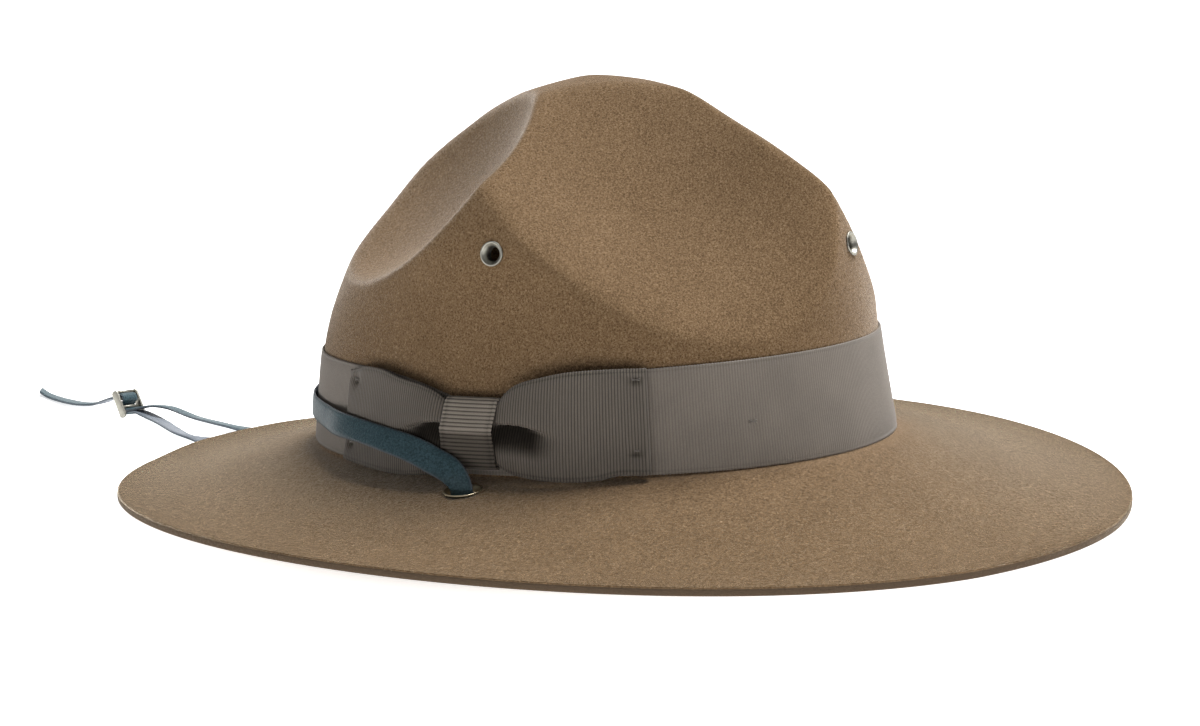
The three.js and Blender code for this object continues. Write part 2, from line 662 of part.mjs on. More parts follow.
// ---- Materials and assembly ----
const finish = (color, roughness, metalness = 0) => (
  new THREE.MeshStandardMaterial({ color, roughness, metalness })
);
const felt = () => finish(0x7a6148, 0.95);
const ribbon = () => finish(0x756a60, 0.7);
const leather = () => finish(0x55707c, 0.5);
const nickel = () => finish(0xc9c6bd, 0.3, 1);
const brass = () => finish(0xb59a63, 0.35, 1);

const hat = new THREE.Group();

function addPiece(name, geometry, material) {
  const mesh = new THREE.Mesh(geometry, material);
  mesh.name = name;
  hat.add(mesh);
  return mesh;
}

addPiece('felt_body', feltBody(), felt());
addPiece('hat_band', bandGeometry(), ribbon());
addPiece('bow_rear_loop', loopGeometry(rearLoop), ribbon());
addPiece('bow_front_loop', loopGeometry(frontLoop), ribbon());
addPiece('bow_knot', knotGeometry(), ribbon());
for (const { name, size, slack, seat } of eyeletSeats) {
  const metal = name.startsWith('crown') ? nickel() : brass();
  addPiece(name, eyeletGeometry(size, slack), metal).applyMatrix4(seat);
}
addPiece('chin_strap', strapGeometry(), leather());
addPiece('strap_slide', slideGeometry(), nickel());

export default hat;
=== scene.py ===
"""A felt campaign hat: a dented felt body, a ribbed ribbon band with a flat bow, metal eyelets,
and a leather chin strap that runs through a small metal slide.

Lengths are millimetres and angles degrees, and the meshes are made in metres in the part's frame:
+Z up, the front of the hat along -Y and its left side, with the bow, along +X.
An azimuth turns round the hat from +X towards +Y.
"""
import json
import math

import bmesh
import bpy
import numpy as np
from mathutils import Matrix, Vector
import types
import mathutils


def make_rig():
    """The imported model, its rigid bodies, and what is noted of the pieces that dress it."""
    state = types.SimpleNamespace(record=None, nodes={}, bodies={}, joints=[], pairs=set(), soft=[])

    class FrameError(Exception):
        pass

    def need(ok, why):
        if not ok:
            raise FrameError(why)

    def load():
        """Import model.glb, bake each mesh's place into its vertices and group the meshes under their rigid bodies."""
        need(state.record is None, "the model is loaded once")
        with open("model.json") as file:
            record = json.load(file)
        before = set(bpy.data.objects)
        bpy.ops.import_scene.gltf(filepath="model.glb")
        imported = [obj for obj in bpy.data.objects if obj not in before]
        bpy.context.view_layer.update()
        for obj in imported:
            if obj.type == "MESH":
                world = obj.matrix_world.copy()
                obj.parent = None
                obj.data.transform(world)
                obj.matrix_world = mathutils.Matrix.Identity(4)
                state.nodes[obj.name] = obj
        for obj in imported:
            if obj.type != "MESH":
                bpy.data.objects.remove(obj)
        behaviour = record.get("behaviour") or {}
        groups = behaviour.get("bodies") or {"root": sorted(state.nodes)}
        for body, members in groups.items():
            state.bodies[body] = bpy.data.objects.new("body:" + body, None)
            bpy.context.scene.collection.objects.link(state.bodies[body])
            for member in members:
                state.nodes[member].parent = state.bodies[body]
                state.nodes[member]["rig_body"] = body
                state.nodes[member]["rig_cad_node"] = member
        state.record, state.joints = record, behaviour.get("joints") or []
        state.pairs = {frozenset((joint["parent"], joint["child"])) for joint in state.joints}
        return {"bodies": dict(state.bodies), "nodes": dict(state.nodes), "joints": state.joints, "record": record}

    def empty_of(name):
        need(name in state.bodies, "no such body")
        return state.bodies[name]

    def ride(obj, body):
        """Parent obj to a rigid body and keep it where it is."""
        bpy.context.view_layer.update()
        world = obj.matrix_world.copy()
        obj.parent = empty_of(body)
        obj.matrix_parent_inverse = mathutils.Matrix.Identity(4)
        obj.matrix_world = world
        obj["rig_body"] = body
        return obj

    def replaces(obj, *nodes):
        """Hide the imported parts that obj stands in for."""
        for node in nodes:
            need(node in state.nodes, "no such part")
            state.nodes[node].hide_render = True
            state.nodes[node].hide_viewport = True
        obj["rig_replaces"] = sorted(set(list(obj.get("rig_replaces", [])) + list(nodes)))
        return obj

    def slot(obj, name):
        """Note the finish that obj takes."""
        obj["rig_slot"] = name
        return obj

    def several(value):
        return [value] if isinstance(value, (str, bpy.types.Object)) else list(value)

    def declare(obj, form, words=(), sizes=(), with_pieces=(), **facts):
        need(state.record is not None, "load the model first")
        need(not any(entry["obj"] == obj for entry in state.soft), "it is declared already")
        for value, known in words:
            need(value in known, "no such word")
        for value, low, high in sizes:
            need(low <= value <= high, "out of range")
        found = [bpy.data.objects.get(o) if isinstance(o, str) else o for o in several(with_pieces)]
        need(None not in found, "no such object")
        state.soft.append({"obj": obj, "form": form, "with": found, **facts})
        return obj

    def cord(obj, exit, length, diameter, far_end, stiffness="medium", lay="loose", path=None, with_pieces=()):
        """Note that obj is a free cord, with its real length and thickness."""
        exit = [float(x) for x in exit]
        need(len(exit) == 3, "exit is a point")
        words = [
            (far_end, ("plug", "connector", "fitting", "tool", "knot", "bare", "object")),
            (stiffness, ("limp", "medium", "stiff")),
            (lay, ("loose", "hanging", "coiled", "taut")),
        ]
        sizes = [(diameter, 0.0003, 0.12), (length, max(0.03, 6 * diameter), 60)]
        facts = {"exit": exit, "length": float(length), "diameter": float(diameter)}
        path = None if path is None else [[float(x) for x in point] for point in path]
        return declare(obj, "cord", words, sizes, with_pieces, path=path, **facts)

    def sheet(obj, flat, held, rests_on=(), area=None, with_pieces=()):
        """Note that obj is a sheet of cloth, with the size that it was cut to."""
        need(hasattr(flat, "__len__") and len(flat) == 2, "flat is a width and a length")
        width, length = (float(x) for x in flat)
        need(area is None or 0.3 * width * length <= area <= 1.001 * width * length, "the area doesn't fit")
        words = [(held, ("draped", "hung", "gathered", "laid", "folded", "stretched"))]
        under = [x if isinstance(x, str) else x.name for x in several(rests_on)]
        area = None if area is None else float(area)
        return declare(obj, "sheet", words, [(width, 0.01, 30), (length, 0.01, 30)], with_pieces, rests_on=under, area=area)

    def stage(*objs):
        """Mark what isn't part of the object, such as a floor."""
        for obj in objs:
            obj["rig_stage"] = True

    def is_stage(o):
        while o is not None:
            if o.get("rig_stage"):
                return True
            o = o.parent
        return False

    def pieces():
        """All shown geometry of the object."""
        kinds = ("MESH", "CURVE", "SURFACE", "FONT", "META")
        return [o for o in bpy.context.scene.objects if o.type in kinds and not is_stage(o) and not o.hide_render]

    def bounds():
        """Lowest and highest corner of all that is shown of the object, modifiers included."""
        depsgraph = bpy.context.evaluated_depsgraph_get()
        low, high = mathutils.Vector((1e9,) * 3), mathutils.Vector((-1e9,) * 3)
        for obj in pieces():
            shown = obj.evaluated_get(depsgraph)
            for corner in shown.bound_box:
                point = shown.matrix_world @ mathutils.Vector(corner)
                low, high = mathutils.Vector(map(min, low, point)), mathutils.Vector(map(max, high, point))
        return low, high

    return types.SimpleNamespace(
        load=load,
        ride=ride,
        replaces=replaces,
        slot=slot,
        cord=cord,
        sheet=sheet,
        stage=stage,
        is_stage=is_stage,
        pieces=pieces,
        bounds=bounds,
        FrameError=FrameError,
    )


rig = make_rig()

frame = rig.load()
cad_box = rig.bounds()
MM = 0.001

# ---- Sizes and tables shared with the solid part ----
FELT = 2.6
BRIM_X, BRIM_Y = 163.0, 181.0
CROWN_X, CROWN_Y = 5.0, -2.9
CROWN_TILT = 0.038
CROWN_HEIGHT = 146.4
CROWN_MIDDLE = np.array([CROWN_X, CROWN_Y, 62.0])
BAND_HEIGHT = 33.7
RIBBON = 0.8
STRAP_WIDTH, STRAP_THICK = 9.0, 1.0

# The undented crown in level sections: height, then half width to the side, the front and the rear.
CROWN_SECTIONS = np.array([
    (22.3, 87.0, 105.0, 105.0),
    (56.0, 83.0, 101.2, 99.7),
    (78.0, 81.0, 92.2, 97.6),
    (98.1, 79.0, 79.0, 93.7),
    (116.1, 71.2, 66.6, 85.6),
    (131.1, 55.2, 46.4, 71.9),
    (139.1, 35.4, 29.1, 48.5),
    (144.4, 13.2, 12.3, 21.9),
    (CROWN_HEIGHT, 0.0, 0.0, 0.0),
])
BAND_SHARE = 1 / 8  # the band covers the first of the eight stretches between the sections

# Each dent is a shallow bowl pressed in towards the middle of the crown: the azimuth and the tilt
# that it faces, its floor's distance from the middle, the radii of its bowl across and along, the
# bowl's turn, and the width over which its edge is rounded.
DENTS = (
    (45.4, 42.5, 68.2, 69.0, 193.0, 36.9, 31.4),
    (134.6, 42.5, 68.2, 69.0, 193.0, -36.9, 31.4),
    (-44.5, 43.3, 62.2, 83.0, 87.0, 2.0, 3.5),
    (-135.5, 43.3, 62.2, 83.0, 87.0, -2.0, 3.5),
)

# The rim waves gently: high at the sides, down on the floor at front and rear.
RIM_RISE, RIM_AZIMUTH, RIM_SINK = 3.1, -10.4, 0.4
BRIM_DISH = 1.25  # 1 is a straight cone, and more flattens the brim towards its rim
FOOT_RUN, FOOT_DROP = 5.0, 1.8  # the fillet between the brim and the crown
CORNER_REACH, CORNER_SLOPE = 0.85, 0.27  # where that fillet's two sides would meet
LIFT_HEIGHT, LIFT_AZIMUTH, LIFT_SPREAD = 1.6, -96.5, 15.0  # felt lifted over the strap


def cos(degrees):
    return np.cos(np.radians(degrees))


def sin(degrees):
    return np.sin(np.radians(degrees))


def unit(vectors):
    return vectors / np.maximum(np.linalg.norm(vectors, axis=-1, keepdims=True), 1e-9)


def mix(a, b, share):
    return a + (b - a) * share


def step(low, high, value):
    share = np.clip((value - low) / (high - low), 0, 1)
    return share * share * (3 - 2 * share)


def bump(value, middle, width):
    return np.exp(-((value - middle) / width) ** 2)


def smooth_rows(rows, at, beyond=None):
    """Catmull-Rom through the rows of a table, read at 0 for its first row to 1 for its last."""
    rows = np.asarray(rows, float)
    last = 2 * rows[-1] - rows[-2] if beyond is None else beyond
    padded = np.vstack([2 * rows[0] - rows[1], rows, last])
    place = np.clip(at, 0, 1) * (len(rows) - 1)
    index = np.minimum(place.astype(int), len(rows) - 2)
    f = (place - index)[..., None]
    a, b, c, d = (padded[index + k] for k in range(4))
    return 0.5 * (2 * b + f * (c - a + f * (2 * a - 5 * b + 4 * c - d + f * (3 * b - a - 3 * c + d))))


# ---- The felt's outer skin ----
def dome(azimuth, share):
    """The crown without its dents, from 0 at its foot to 1 at its peak."""
    top = CROWN_SECTIONS[-2] * (1, -1, -1, -1)
    height, side, front, rear = np.moveaxis(smooth_rows(CROWN_SECTIONS, share, top), -1, 0)
    x = CROWN_X + side * cos(azimuth)
    y = CROWN_Y + np.where(sin(azimuth) < 0, front, rear) * sin(azimuth)
    foot = CROWN_SECTIONS[0, 0]
    down = np.clip((CROWN_HEIGHT - height) / (CROWN_HEIGHT - foot), 0, 1)
    return np.stack([x, y, height + CROWN_TILT * y * down ** 1.5], -1)


def crown(azimuth, share):
    """The dome with its four dents: each is a soft bowl pressed towards the crown's middle."""
    ray = dome(azimuth, share) - CROWN_MIDDLE
    full = np.linalg.norm(ray, axis=-1)
    reach = full.copy()
    for facing_azimuth, tilt, depth, across, along, turn, soft in DENTS:
        facing = np.array([cos(facing_azimuth) * cos(tilt), sin(facing_azimuth) * cos(tilt), sin(tilt)])
        level = np.array([-sin(facing_azimuth), cos(facing_azimuth), 0])
        upward = np.cross(facing, level)
        first = level * cos(turn) + upward * sin(turn)
        second = upward * cos(turn) - level * sin(turn)
        towards = ray @ facing
        bowl = (ray @ first) ** 2 / (2 * across) + (ray @ second) ** 2 / (2 * along)
        inside = towards ** 2 - 4 * bowl * depth
        hit = (towards > 0) & (inside > 0)
        wall = 2 * depth / (towards + np.sqrt(np.where(hit, inside, 1))) * full
        wall = np.where(hit, wall, full * 9)
        overlap = np.maximum(soft - np.abs(reach - wall), 0) / soft
        reach = np.minimum(reach, wall) - overlap ** 2 * soft / 4
    return CROWN_MIDDLE + ray * (reach / full)[..., None]


def foot(azimuth):
    """Where the fillet round the crown runs out on the brim."""
    height, side, front, _ = CROWN_SECTIONS[0]
    x = CROWN_X + (side + FOOT_RUN) * cos(azimuth)
    y = CROWN_Y + (front + FOOT_RUN) * sin(azimuth)
    return np.stack([x, y, height - FOOT_DROP + CROWN_TILT * y], -1)


def brim(azimuth, out):
    """The brim's top, from 0 at the crown's fillet to 1 at the rim."""
    start = foot(azimuth)
    rim = np.stack([BRIM_X * cos(azimuth), BRIM_Y * sin(azimuth), 0 * azimuth], -1)
    low = RIM_RISE * (1 + cos(2 * (azimuth - RIM_AZIMUTH))) - RIM_SINK
    away = (azimuth - LIFT_AZIMUTH + 180) % 360 - 180
    lift = LIFT_HEIGHT * np.exp(-((away / LIFT_SPREAD) ** 4)) * out ** 3
    point = mix(start, rim, out[..., None])
    point[..., 2] = np.maximum(mix(low + FELT, start[..., 2], (1 - out) ** BRIM_DISH) + lift, FELT)
    return point


def skin(azimuth, place):
    """0 is the rim, 1 the brim's foot, 2 the crown's foot and 3 the peak."""
    azimuth, place = np.broadcast_arrays(np.asarray(azimuth, float), np.asarray(place, float))
    f = np.clip(place - 1, 0, 1)[..., None]
    start, wall = foot(azimuth), crown(azimuth, 0 * place)
    corner = mix(start, wall, CORNER_REACH)
    corner[..., 2] = start[..., 2] + CORNER_SLOPE * CORNER_REACH * FOOT_RUN
    fillet = start * (1 - f) ** 2 + corner * 2 * f * (1 - f) + wall * f ** 2
    flat = brim(azimuth, np.clip(1 - place, 0, 1))
    high = crown(azimuth, np.clip(place - 2, 0, 1))
    place = place[..., None]
    return np.where(place <= 1, flat, np.where(place >= 2, high, fillet))


def skin_normal(azimuth, place):
    azimuth, place = np.broadcast_arrays(np.asarray(azimuth, float), np.asarray(place, float))
    # The slope is read over a short stretch upwards, or downwards next to the peak.
    ahead = np.where(place < 2.98, 0.002, -0.002)
    ahead = np.where(place < 0.002, 0.004, ahead)
    around = skin(azimuth + 0.2, place) - skin(azimuth - 0.2, place)
    upward = (skin(azimuth, place + ahead) - skin(azimuth, place)) * np.sign(ahead)[..., None]
    return unit(np.cross(around, upward))


def skin_off(azimuth, place, offset):
    normal = skin_normal(azimuth, place)
    return skin(azimuth, place) + normal * np.asarray(offset, float)[..., None]


def wall(azimuth, level, lift):
    """A point at `lift` over the felt, at a share of the band's height. Below 0 it is straight down."""
    azimuth, level, lift = np.broadcast_arrays(*(np.asarray(v, float) for v in (azimuth, level, lift)))
    point = skin_off(azimuth, 2 + np.maximum(level, 0) * BAND_SHARE, lift)
    point[..., 2] += np.minimum(level, 0) * BAND_HEIGHT
    return point


# ---- Mesh helpers ----
MERGE = 1e-4
EDGE_BULGE = 0.55  # how far a strip's long edges round out, in half thicknesses


def finish_mesh(name, work):
    """Turns a bmesh in millimetres into a piece that rides on the hat's one body."""
    bmesh.ops.recalc_face_normals(work, faces=work.faces)
    if work.calc_volume(signed=True) < 0:
        bmesh.ops.reverse_faces(work, faces=work.faces)
    bmesh.ops.scale(work, vec=(MM, MM, MM), verts=work.verts)
    mesh = bpy.data.meshes.new(name)
    work.to_mesh(mesh)
    work.free()
    for face in mesh.polygons:
        face.use_smooth = True
    piece = bpy.data.objects.new(name, mesh)
    bpy.context.scene.collection.objects.link(piece)
    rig.ride(piece, "root")
    return piece


def grid_piece(name, points, close_rows=False, close_columns=False, **attributes):
    """A grid laid over an array of points (rows, columns, 3), with its open ends capped.
    A closed direction joins its last line to its first. Each attribute is an array
    (rows, columns) that the material may read."""
    if close_rows:
        points = np.concatenate([points, points[:1]], 0)
        attributes = {k: np.concatenate([v, v[:1]], 0) for k, v in attributes.items()}
    if close_columns:
        points = np.concatenate([points, points[:, :1]], 1)
        attributes = {k: np.concatenate([v, v[:, :1]], 1) for k, v in attributes.items()}
    rows, columns = points.shape[:2]
    work = bmesh.new()
    bmesh.ops.create_grid(work, x_segments=columns - 1, y_segments=rows - 1, size=0.5)
    layers = {k: work.verts.layers.float.new(k) for k in attributes}
    flat = points.reshape(-1, 3)
    values = {k: v.reshape(-1) for k, v in attributes.items()}
    for index, vert in enumerate(work.verts):
        vert.co = flat[index]
        for key, layer in layers.items():
            vert[layer] = values[key][index]
    bmesh.ops.remove_doubles(work, verts=work.verts, dist=MERGE)
    rim = [edge for edge in work.edges if edge.is_boundary]
    if rim:
        bmesh.ops.holes_fill(work, edges=rim, sides=0)
    return finish_mesh(name, work)


def mid_normals(middle, closed=False):
    """Unit normals of a strip's middle surface (rows, columns, 3)."""
    if closed:
        wrapped = np.concatenate([middle[-2:], middle, middle[:2]], 0)
        forward = np.gradient(wrapped, axis=0)[2:-2]
    else:
        forward = np.gradient(middle, axis=0)
    return unit(np.cross(forward, np.gradient(middle, axis=1)))


def strip_piece(name, middle, thick, relief, round_edge=0.35, closed=False, **attributes):
    """A strip of that thickness round a middle surface, with soft long edges.
    `relief` (rows, columns) stands the front out, and the back by the same amount.
    The material may read `front`, which is 1 on the front and 0 elsewhere."""
    normal = mid_normals(middle, closed)
    count = middle.shape[1]
    half = thick / 2
    taper = np.ones(count)
    taper[[0, -1]] = 1 - round_edge
    outer = middle + normal * (half * taper + relief)[..., None]
    inner = middle - normal * (half * taper + relief)[..., None]
    sideways = unit(np.gradient(middle, axis=1))
    edge_out = half * EDGE_BULGE
    first = middle[:, :1] - sideways[:, :1] * edge_out
    last = middle[:, -1:] + sideways[:, -1:] * edge_out
    section = np.concatenate([outer, last, inner[:, ::-1], first], 1)
    ring = {}
    for key, value in attributes.items():
        value = np.broadcast_to(value, middle.shape[:2])
        ring[key] = np.concatenate([value, value[:, -1:], value[:, ::-1], value[:, :1]], 1)
    front = np.zeros(section.shape[:2])
    front[:, :count] = 1
    ring["front"] = front
    return grid_piece(name, section, close_rows=closed, close_columns=True, **ring)


# ---- Materials ----
class Paint:
    """A short way to wire a Principled material."""

    def __init__(self, name, **sockets):
        self.material = bpy.data.materials.new(name)
        self.material.use_nodes = True
        self.tree = self.material.node_tree
        self.shader = self.tree.nodes["Principled BSDF"]
        self.place = self.tree.nodes.new("ShaderNodeTexCoord").outputs["Object"]
        for key, value in sockets.items():
            self.shader.inputs[key.replace("_", " ")].default_value = value

    def link(self, source, node, socket):
        if isinstance(source, (int, float, tuple)):
            node.inputs[socket].default_value = source
        else:
            self.tree.links.new(source, node.inputs[socket])

    def noise(self, scale, detail=2.0, rough=0.5, twist=0.0):
        node = self.tree.nodes.new("ShaderNodeTexNoise")
        node.inputs["Scale"].default_value = scale
        node.inputs["Detail"].default_value = detail
        node.inputs["Roughness"].default_value = rough
        node.inputs["Distortion"].default_value = twist
        self.tree.links.new(self.place, node.inputs["Vector"])
        return node.outputs["Fac"]

    def cells(self, scale):
        node = self.tree.nodes.new("ShaderNodeTexVoronoi")
        node.inputs["Scale"].default_value = scale
        self.tree.links.new(self.place, node.inputs["Vector"])
        return node.outputs["Distance"]

    def value(self, name):
        """A mesh attribute, by its name."""
        node = self.tree.nodes.new("ShaderNodeAttribute")
        node.attribute_name = name
        return node.outputs["Fac"]

    def ramp(self, source, stops):
        node = self.tree.nodes.new("ShaderNodeValToRGB")
        elements = node.color_ramp.elements
        while len(elements) < len(stops):
            elements.new(0.5)
        for element, (position, colour) in zip(elements, stops):
            element.position = position
            element.color = (*colour, 1)
        self.tree.links.new(source, node.inputs["Fac"])
        return node.outputs["Color"]

    def mix(self, share, first, second, how="MIX"):
        node = self.tree.nodes.new("ShaderNodeMix")
        node.data_type = "RGBA"
        node.blend_type = how
        self.link(share, node, "Factor")
        for socket, source in (("A", first), ("B", second)):
            target = next(s for s in node.inputs if s.name == socket and s.type == "RGBA")
            if isinstance(source, tuple):
                target.default_value = (*source, 1)
            else:
                self.tree.links.new(source, target)
        return next(s for s in node.outputs if s.type == "RGBA")

    def times(self, first, second):
        """Two colours multiplied."""
        return self.mix(1.0, first, second, "MULTIPLY")

    def combine(self, how, first, second):
        """Two numbers, added or multiplied."""
        node = self.tree.nodes.new("ShaderNodeMath")
        node.operation = how
        self.link(first, node, 0)
        self.link(second, node, 1)
        return node.outputs[0]

    def spread(self, source, low, high, to_low, to_high):
        node = self.tree.nodes.new("ShaderNodeMapRange")
        sockets = {"From Min": low, "From Max": high, "To Min": to_low, "To Max": to_high}
        for socket, number in sockets.items():
            node.inputs[socket].default_value = number
        self.tree.links.new(source, node.inputs["Value"])
        return node.outputs["Result"]

    def bump(self, height, strength, depth, after=None):
        node = self.tree.nodes.new("ShaderNodeBump")
        node.inputs["Strength"].default_value = strength
        node.inputs["Distance"].default_value = depth
        self.tree.links.new(height, node.inputs["Height"])
        if after:
            self.tree.links.new(after, node.inputs["Normal"])
        return node.outputs["Normal"]

    def set(self, socket, source):
        self.tree.links.new(source, self.shader.inputs[socket])


WHITE = (1.0, 1.0, 1.0)
# Painted shade on the felt's cut rim.
CUT_RIM_SHADE = (0.075, 0.052, 0.034)
# Painted shade: the near black that a ribbon is painted where it lies in shade.
PAINTED_SHADE_COLOUR = (0.007, 0.006, 0.005)


def felt_material():
    """Felt of mixed fibres. `brushed` raises a paler, coarser nap, and `cut` marks the cut rim, which is painted
    darker, as shade, with less sheen.
    """
    paint = Paint("felt", Roughness=1.0, Specular_IOR_Level=0.1)
    fibre = paint.noise(1750, 3.0, 0.75, 0.8)
    fine = paint.noise(4200, 2.0, 0.6)
    fuzz = paint.noise(760, 3.0, 0.75, 0.4)
    patch = paint.noise(38, 3.0, 0.6)
    brushed = paint.value("brushed")
    cut = paint.value("cut")
    napped = paint.spread(brushed, 0, 0.2, 0.0, 1.0)
    colour = paint.ramp(fibre, [
        (0.3, (0.06, 0.036, 0.017)), (0.5, (0.16, 0.101, 0.053)), (0.7, (0.31, 0.208, 0.118)),
    ])
    nap = paint.ramp(fuzz, [
        (0.32, (0.64, 0.62, 0.59)), (0.5, (0.91, 0.9, 0.88)), (0.68, (1.22, 1.22, 1.22)),
    ])
    nap = paint.mix(paint.spread(napped, 0, 1, 0.18, 1.0), WHITE, nap)
    tone = paint.ramp(patch, [(0.3, (0.93, 0.92, 0.9)), (0.7, (1.06, 1.06, 1.06))])
    # The cut rim is painted darker, as shade.
    paint.set("Base Color", paint.mix(cut, paint.times(paint.times(colour, nap), tone), CUT_RIM_SHADE))
    bloom = paint.ramp(fibre, [
        (0.3, (0.5, 0.46, 0.41)), (0.5, (0.98, 0.91, 0.83)), (0.7, (1.5, 1.4, 1.28)),
    ])
    paler = paint.mix(brushed, WHITE, (3.0, 2.85, 2.5))
    paint.set("Sheen Tint", paint.times(paint.times(bloom, nap), paler))
    uncut = paint.spread(cut, 0, 1, 1.0, 0.2)
    paint.set("Sheen Weight", paint.combine("MULTIPLY", uncut, paint.spread(brushed, 0, 1, 0.5, 1.0)))
    paint.set("Sheen Roughness", paint.spread(brushed, 0, 1, 0.3, 0.16))
    coarse = paint.bump(paint.combine("MULTIPLY", fuzz, napped), 0.4, 0.0009)
    fibrous = paint.bump(fibre, 0.6, 0.0004, coarse)
    paint.set("Normal", paint.bump(fine, 0.4, 0.00025, fibrous))
    return paint.material


def ribbon_material(name, shade, rib_shading):
    """Ribbed ribbon. The third argument is how much darker the grooves are painted than the ribs, as painted shade,
    and the crests are painted lighter, as a painted highlight.
    Where a pleat, a tack or the knot's lower half keeps the light out, the ribbon is painted near black and loses its
    highlights: painted shade."""
    paint = Paint(name, Roughness=0.62, Sheen_Roughness=0.4)
    rib = paint.value("rib")
    deep = paint.value("deep")
    # Where the ribbon is painted in shade, its highlights are taken away too.
    paint.set("Specular IOR Level", paint.spread(deep, 0, 0.8, 0.3, 0.02))
    paint.set("Sheen Weight", paint.spread(deep, 0, 0.8, 0.15, 0.0))
    thread = paint.noise(2600, 2.0, 0.5)
    patch = paint.noise(60, 2.0, 0.5)
    # Painted shade in the grooves and a painted highlight on the crests.
    groove = tuple(channel * (1 - rib_shading) for channel in shade)
    crest_highlight = tuple(channel * (1 + 0.25 * rib_shading) for channel in shade)
    base = paint.ramp(rib, [(0.0, groove), (0.42, shade), (1.0, crest_highlight)])
    tone = paint.ramp(patch, [(0.3, (0.92, 0.92, 0.92)), (0.7, (1.06, 1.06, 1.06))])
    grain = paint.ramp(thread, [(0.3, (0.9, 0.9, 0.9)), (0.7, (1.08, 1.08, 1.08))])
    # Painted shade: near black where the ribbon lies in shade.
    paint.set("Base Color", paint.mix(deep, paint.times(paint.times(base, tone), grain), PAINTED_SHADE_COLOUR))
    paint.set("Normal", paint.bump(thread, 0.25, 0.0002))
    return paint.material


def leather_material():
    """Pebbled leather. `front` marks its suede side, and `edge` its raw long edges."""
    paint = Paint("strap_leather", Roughness=0.5, Specular_IOR_Level=0.2)
    pebble = paint.cells(1500)
    crease = paint.noise(1100, 3.0, 0.6)
    patch = paint.noise(120, 2.0, 0.5)
    suede_side = paint.value("front")
    edge = paint.value("edge")
    grain = paint.ramp(pebble, [(0.1, (0.046, 0.088, 0.105)), (0.6, (0.02, 0.042, 0.052))])
    grain = paint.mix(paint.spread(crease, 0.4, 0.75, 0.0, 0.5), grain, (0.08, 0.138, 0.16))
    suede = paint.ramp(patch, [(0.3, (0.1, 0.117, 0.14)), (0.7, (0.135, 0.153, 0.18))])
    colour = paint.mix(suede_side, grain, suede)
    paint.set("Base Color", paint.mix(edge, colour, (0.075, 0.09, 0.105)))
    height = paint.combine("ADD", pebble, crease)
    paint.set("Normal", paint.bump(height, 0.4, 0.0004))
    return paint.material


def metal_material(name, colour, shade, rough):
    """Worn metal, from `shade` in its dull patches to `colour`."""
    paint = Paint(name, Metallic=1.0)
    wear = paint.noise(700, 3.0, 0.6)
    smear = paint.noise(160, 2.0, 0.5)
    paint.set("Base Color", paint.ramp(smear, [(0.3, shade), (0.65, colour)]))
    paint.set("Roughness", paint.spread(wear, 0.3, 0.7, rough - 0.06, rough + 0.12))
    paint.set("Normal", paint.bump(wear, 0.06, 0.0001))
    return paint.material


def thread_material():
    paint = Paint("tack_thread", Roughness=0.6, Sheen_Weight=0.3)
    twist = paint.noise(3000, 2.0, 0.6)
    paint.set("Base Color", paint.ramp(twist, [(0.3, (0.07, 0.06, 0.05)), (0.7, (0.17, 0.15, 0.13))]))
    paint.set("Normal", paint.bump(twist, 0.4, 0.0001))
    return paint.material


# The floor glows between these distances from the hat's middle, in metres.
GLOW_STARTS, GLOW_FULL, GLOW_FADES, GLOW_FAR = 0.1, 0.165, 0.25, 0.36
GLOW_STRENGTH, GLOW_FAR_SHARE = 1.15, 0.3


def floor_material():
    """A pale table that glows round the hat, but not under its crown."""
    paint = Paint("floor", Roughness=0.9, Specular_IOR_Level=0.1, Emission_Color=(1, 1, 1, 1))
    patch = paint.noise(3, 2.0, 0.5)
    paint.set("Base Color", paint.ramp(patch, [(0.3, (0.9, 0.9, 0.9)), (0.7, (0.92, 0.92, 0.92))]))
    length = paint.tree.nodes.new("ShaderNodeVectorMath")
    length.operation = "LENGTH"
    paint.tree.links.new(paint.place, length.inputs[0])
    distance = length.outputs["Value"]
    inner = paint.spread(distance, GLOW_STARTS, GLOW_FULL, 0.0, GLOW_STRENGTH)
    outer = paint.spread(distance, GLOW_FADES, GLOW_FAR, 1.0, GLOW_FAR_SHARE)
    paint.set("Emission Strength", paint.combine("MULTIPLY", inner, outer))
    return paint.material


FELT_PAINT = felt_material()
# One ribbon in three copies: the band's own, a darker copy for the bow's loops as painted shade, and a lighter copy
# for the knot as painted light.
RIBBON_PAINT = ribbon_material("band_ribbon", (0.18, 0.155, 0.13), 0.3)
SHADED_BOW_PAINT = ribbon_material("bow_ribbon_shaded", (0.115, 0.098, 0.08), 0.8)
LIT_KNOT_PAINT = ribbon_material("knot_ribbon_lit", (0.22, 0.19, 0.157), 0.85)
LEATHER_PAINT = leather_material()
NICKEL_PAINT = metal_material("pale_nickel", (0.37, 0.36, 0.31), (0.26, 0.25, 0.22), 0.46)
BRASS_PAINT = metal_material("worn_brass", (0.6, 0.53, 0.38), (0.42, 0.35, 0.23), 0.34)
THREAD_PAINT = thread_material()

# ---- Camera ----
# Unlike the hat's azimuths, the camera's turns from the front, -Y, towards the bow's side, +X.
CAMERA_AZIMUTH, CAMERA_ELEVATION, CAMERA_ROLL = 119.63, 8.5, -1.08
CAMERA_DISTANCE, CAMERA_AIM = 1.0, Vector((0, 0, 0.0631))
# The focal length and the lens's offsets are in 1200ths of the frame's width.
FRAME_WIDTH, FOCAL = 1200, 2858
OFF_RIGHT, OFF_UP = 14.0, 50.75


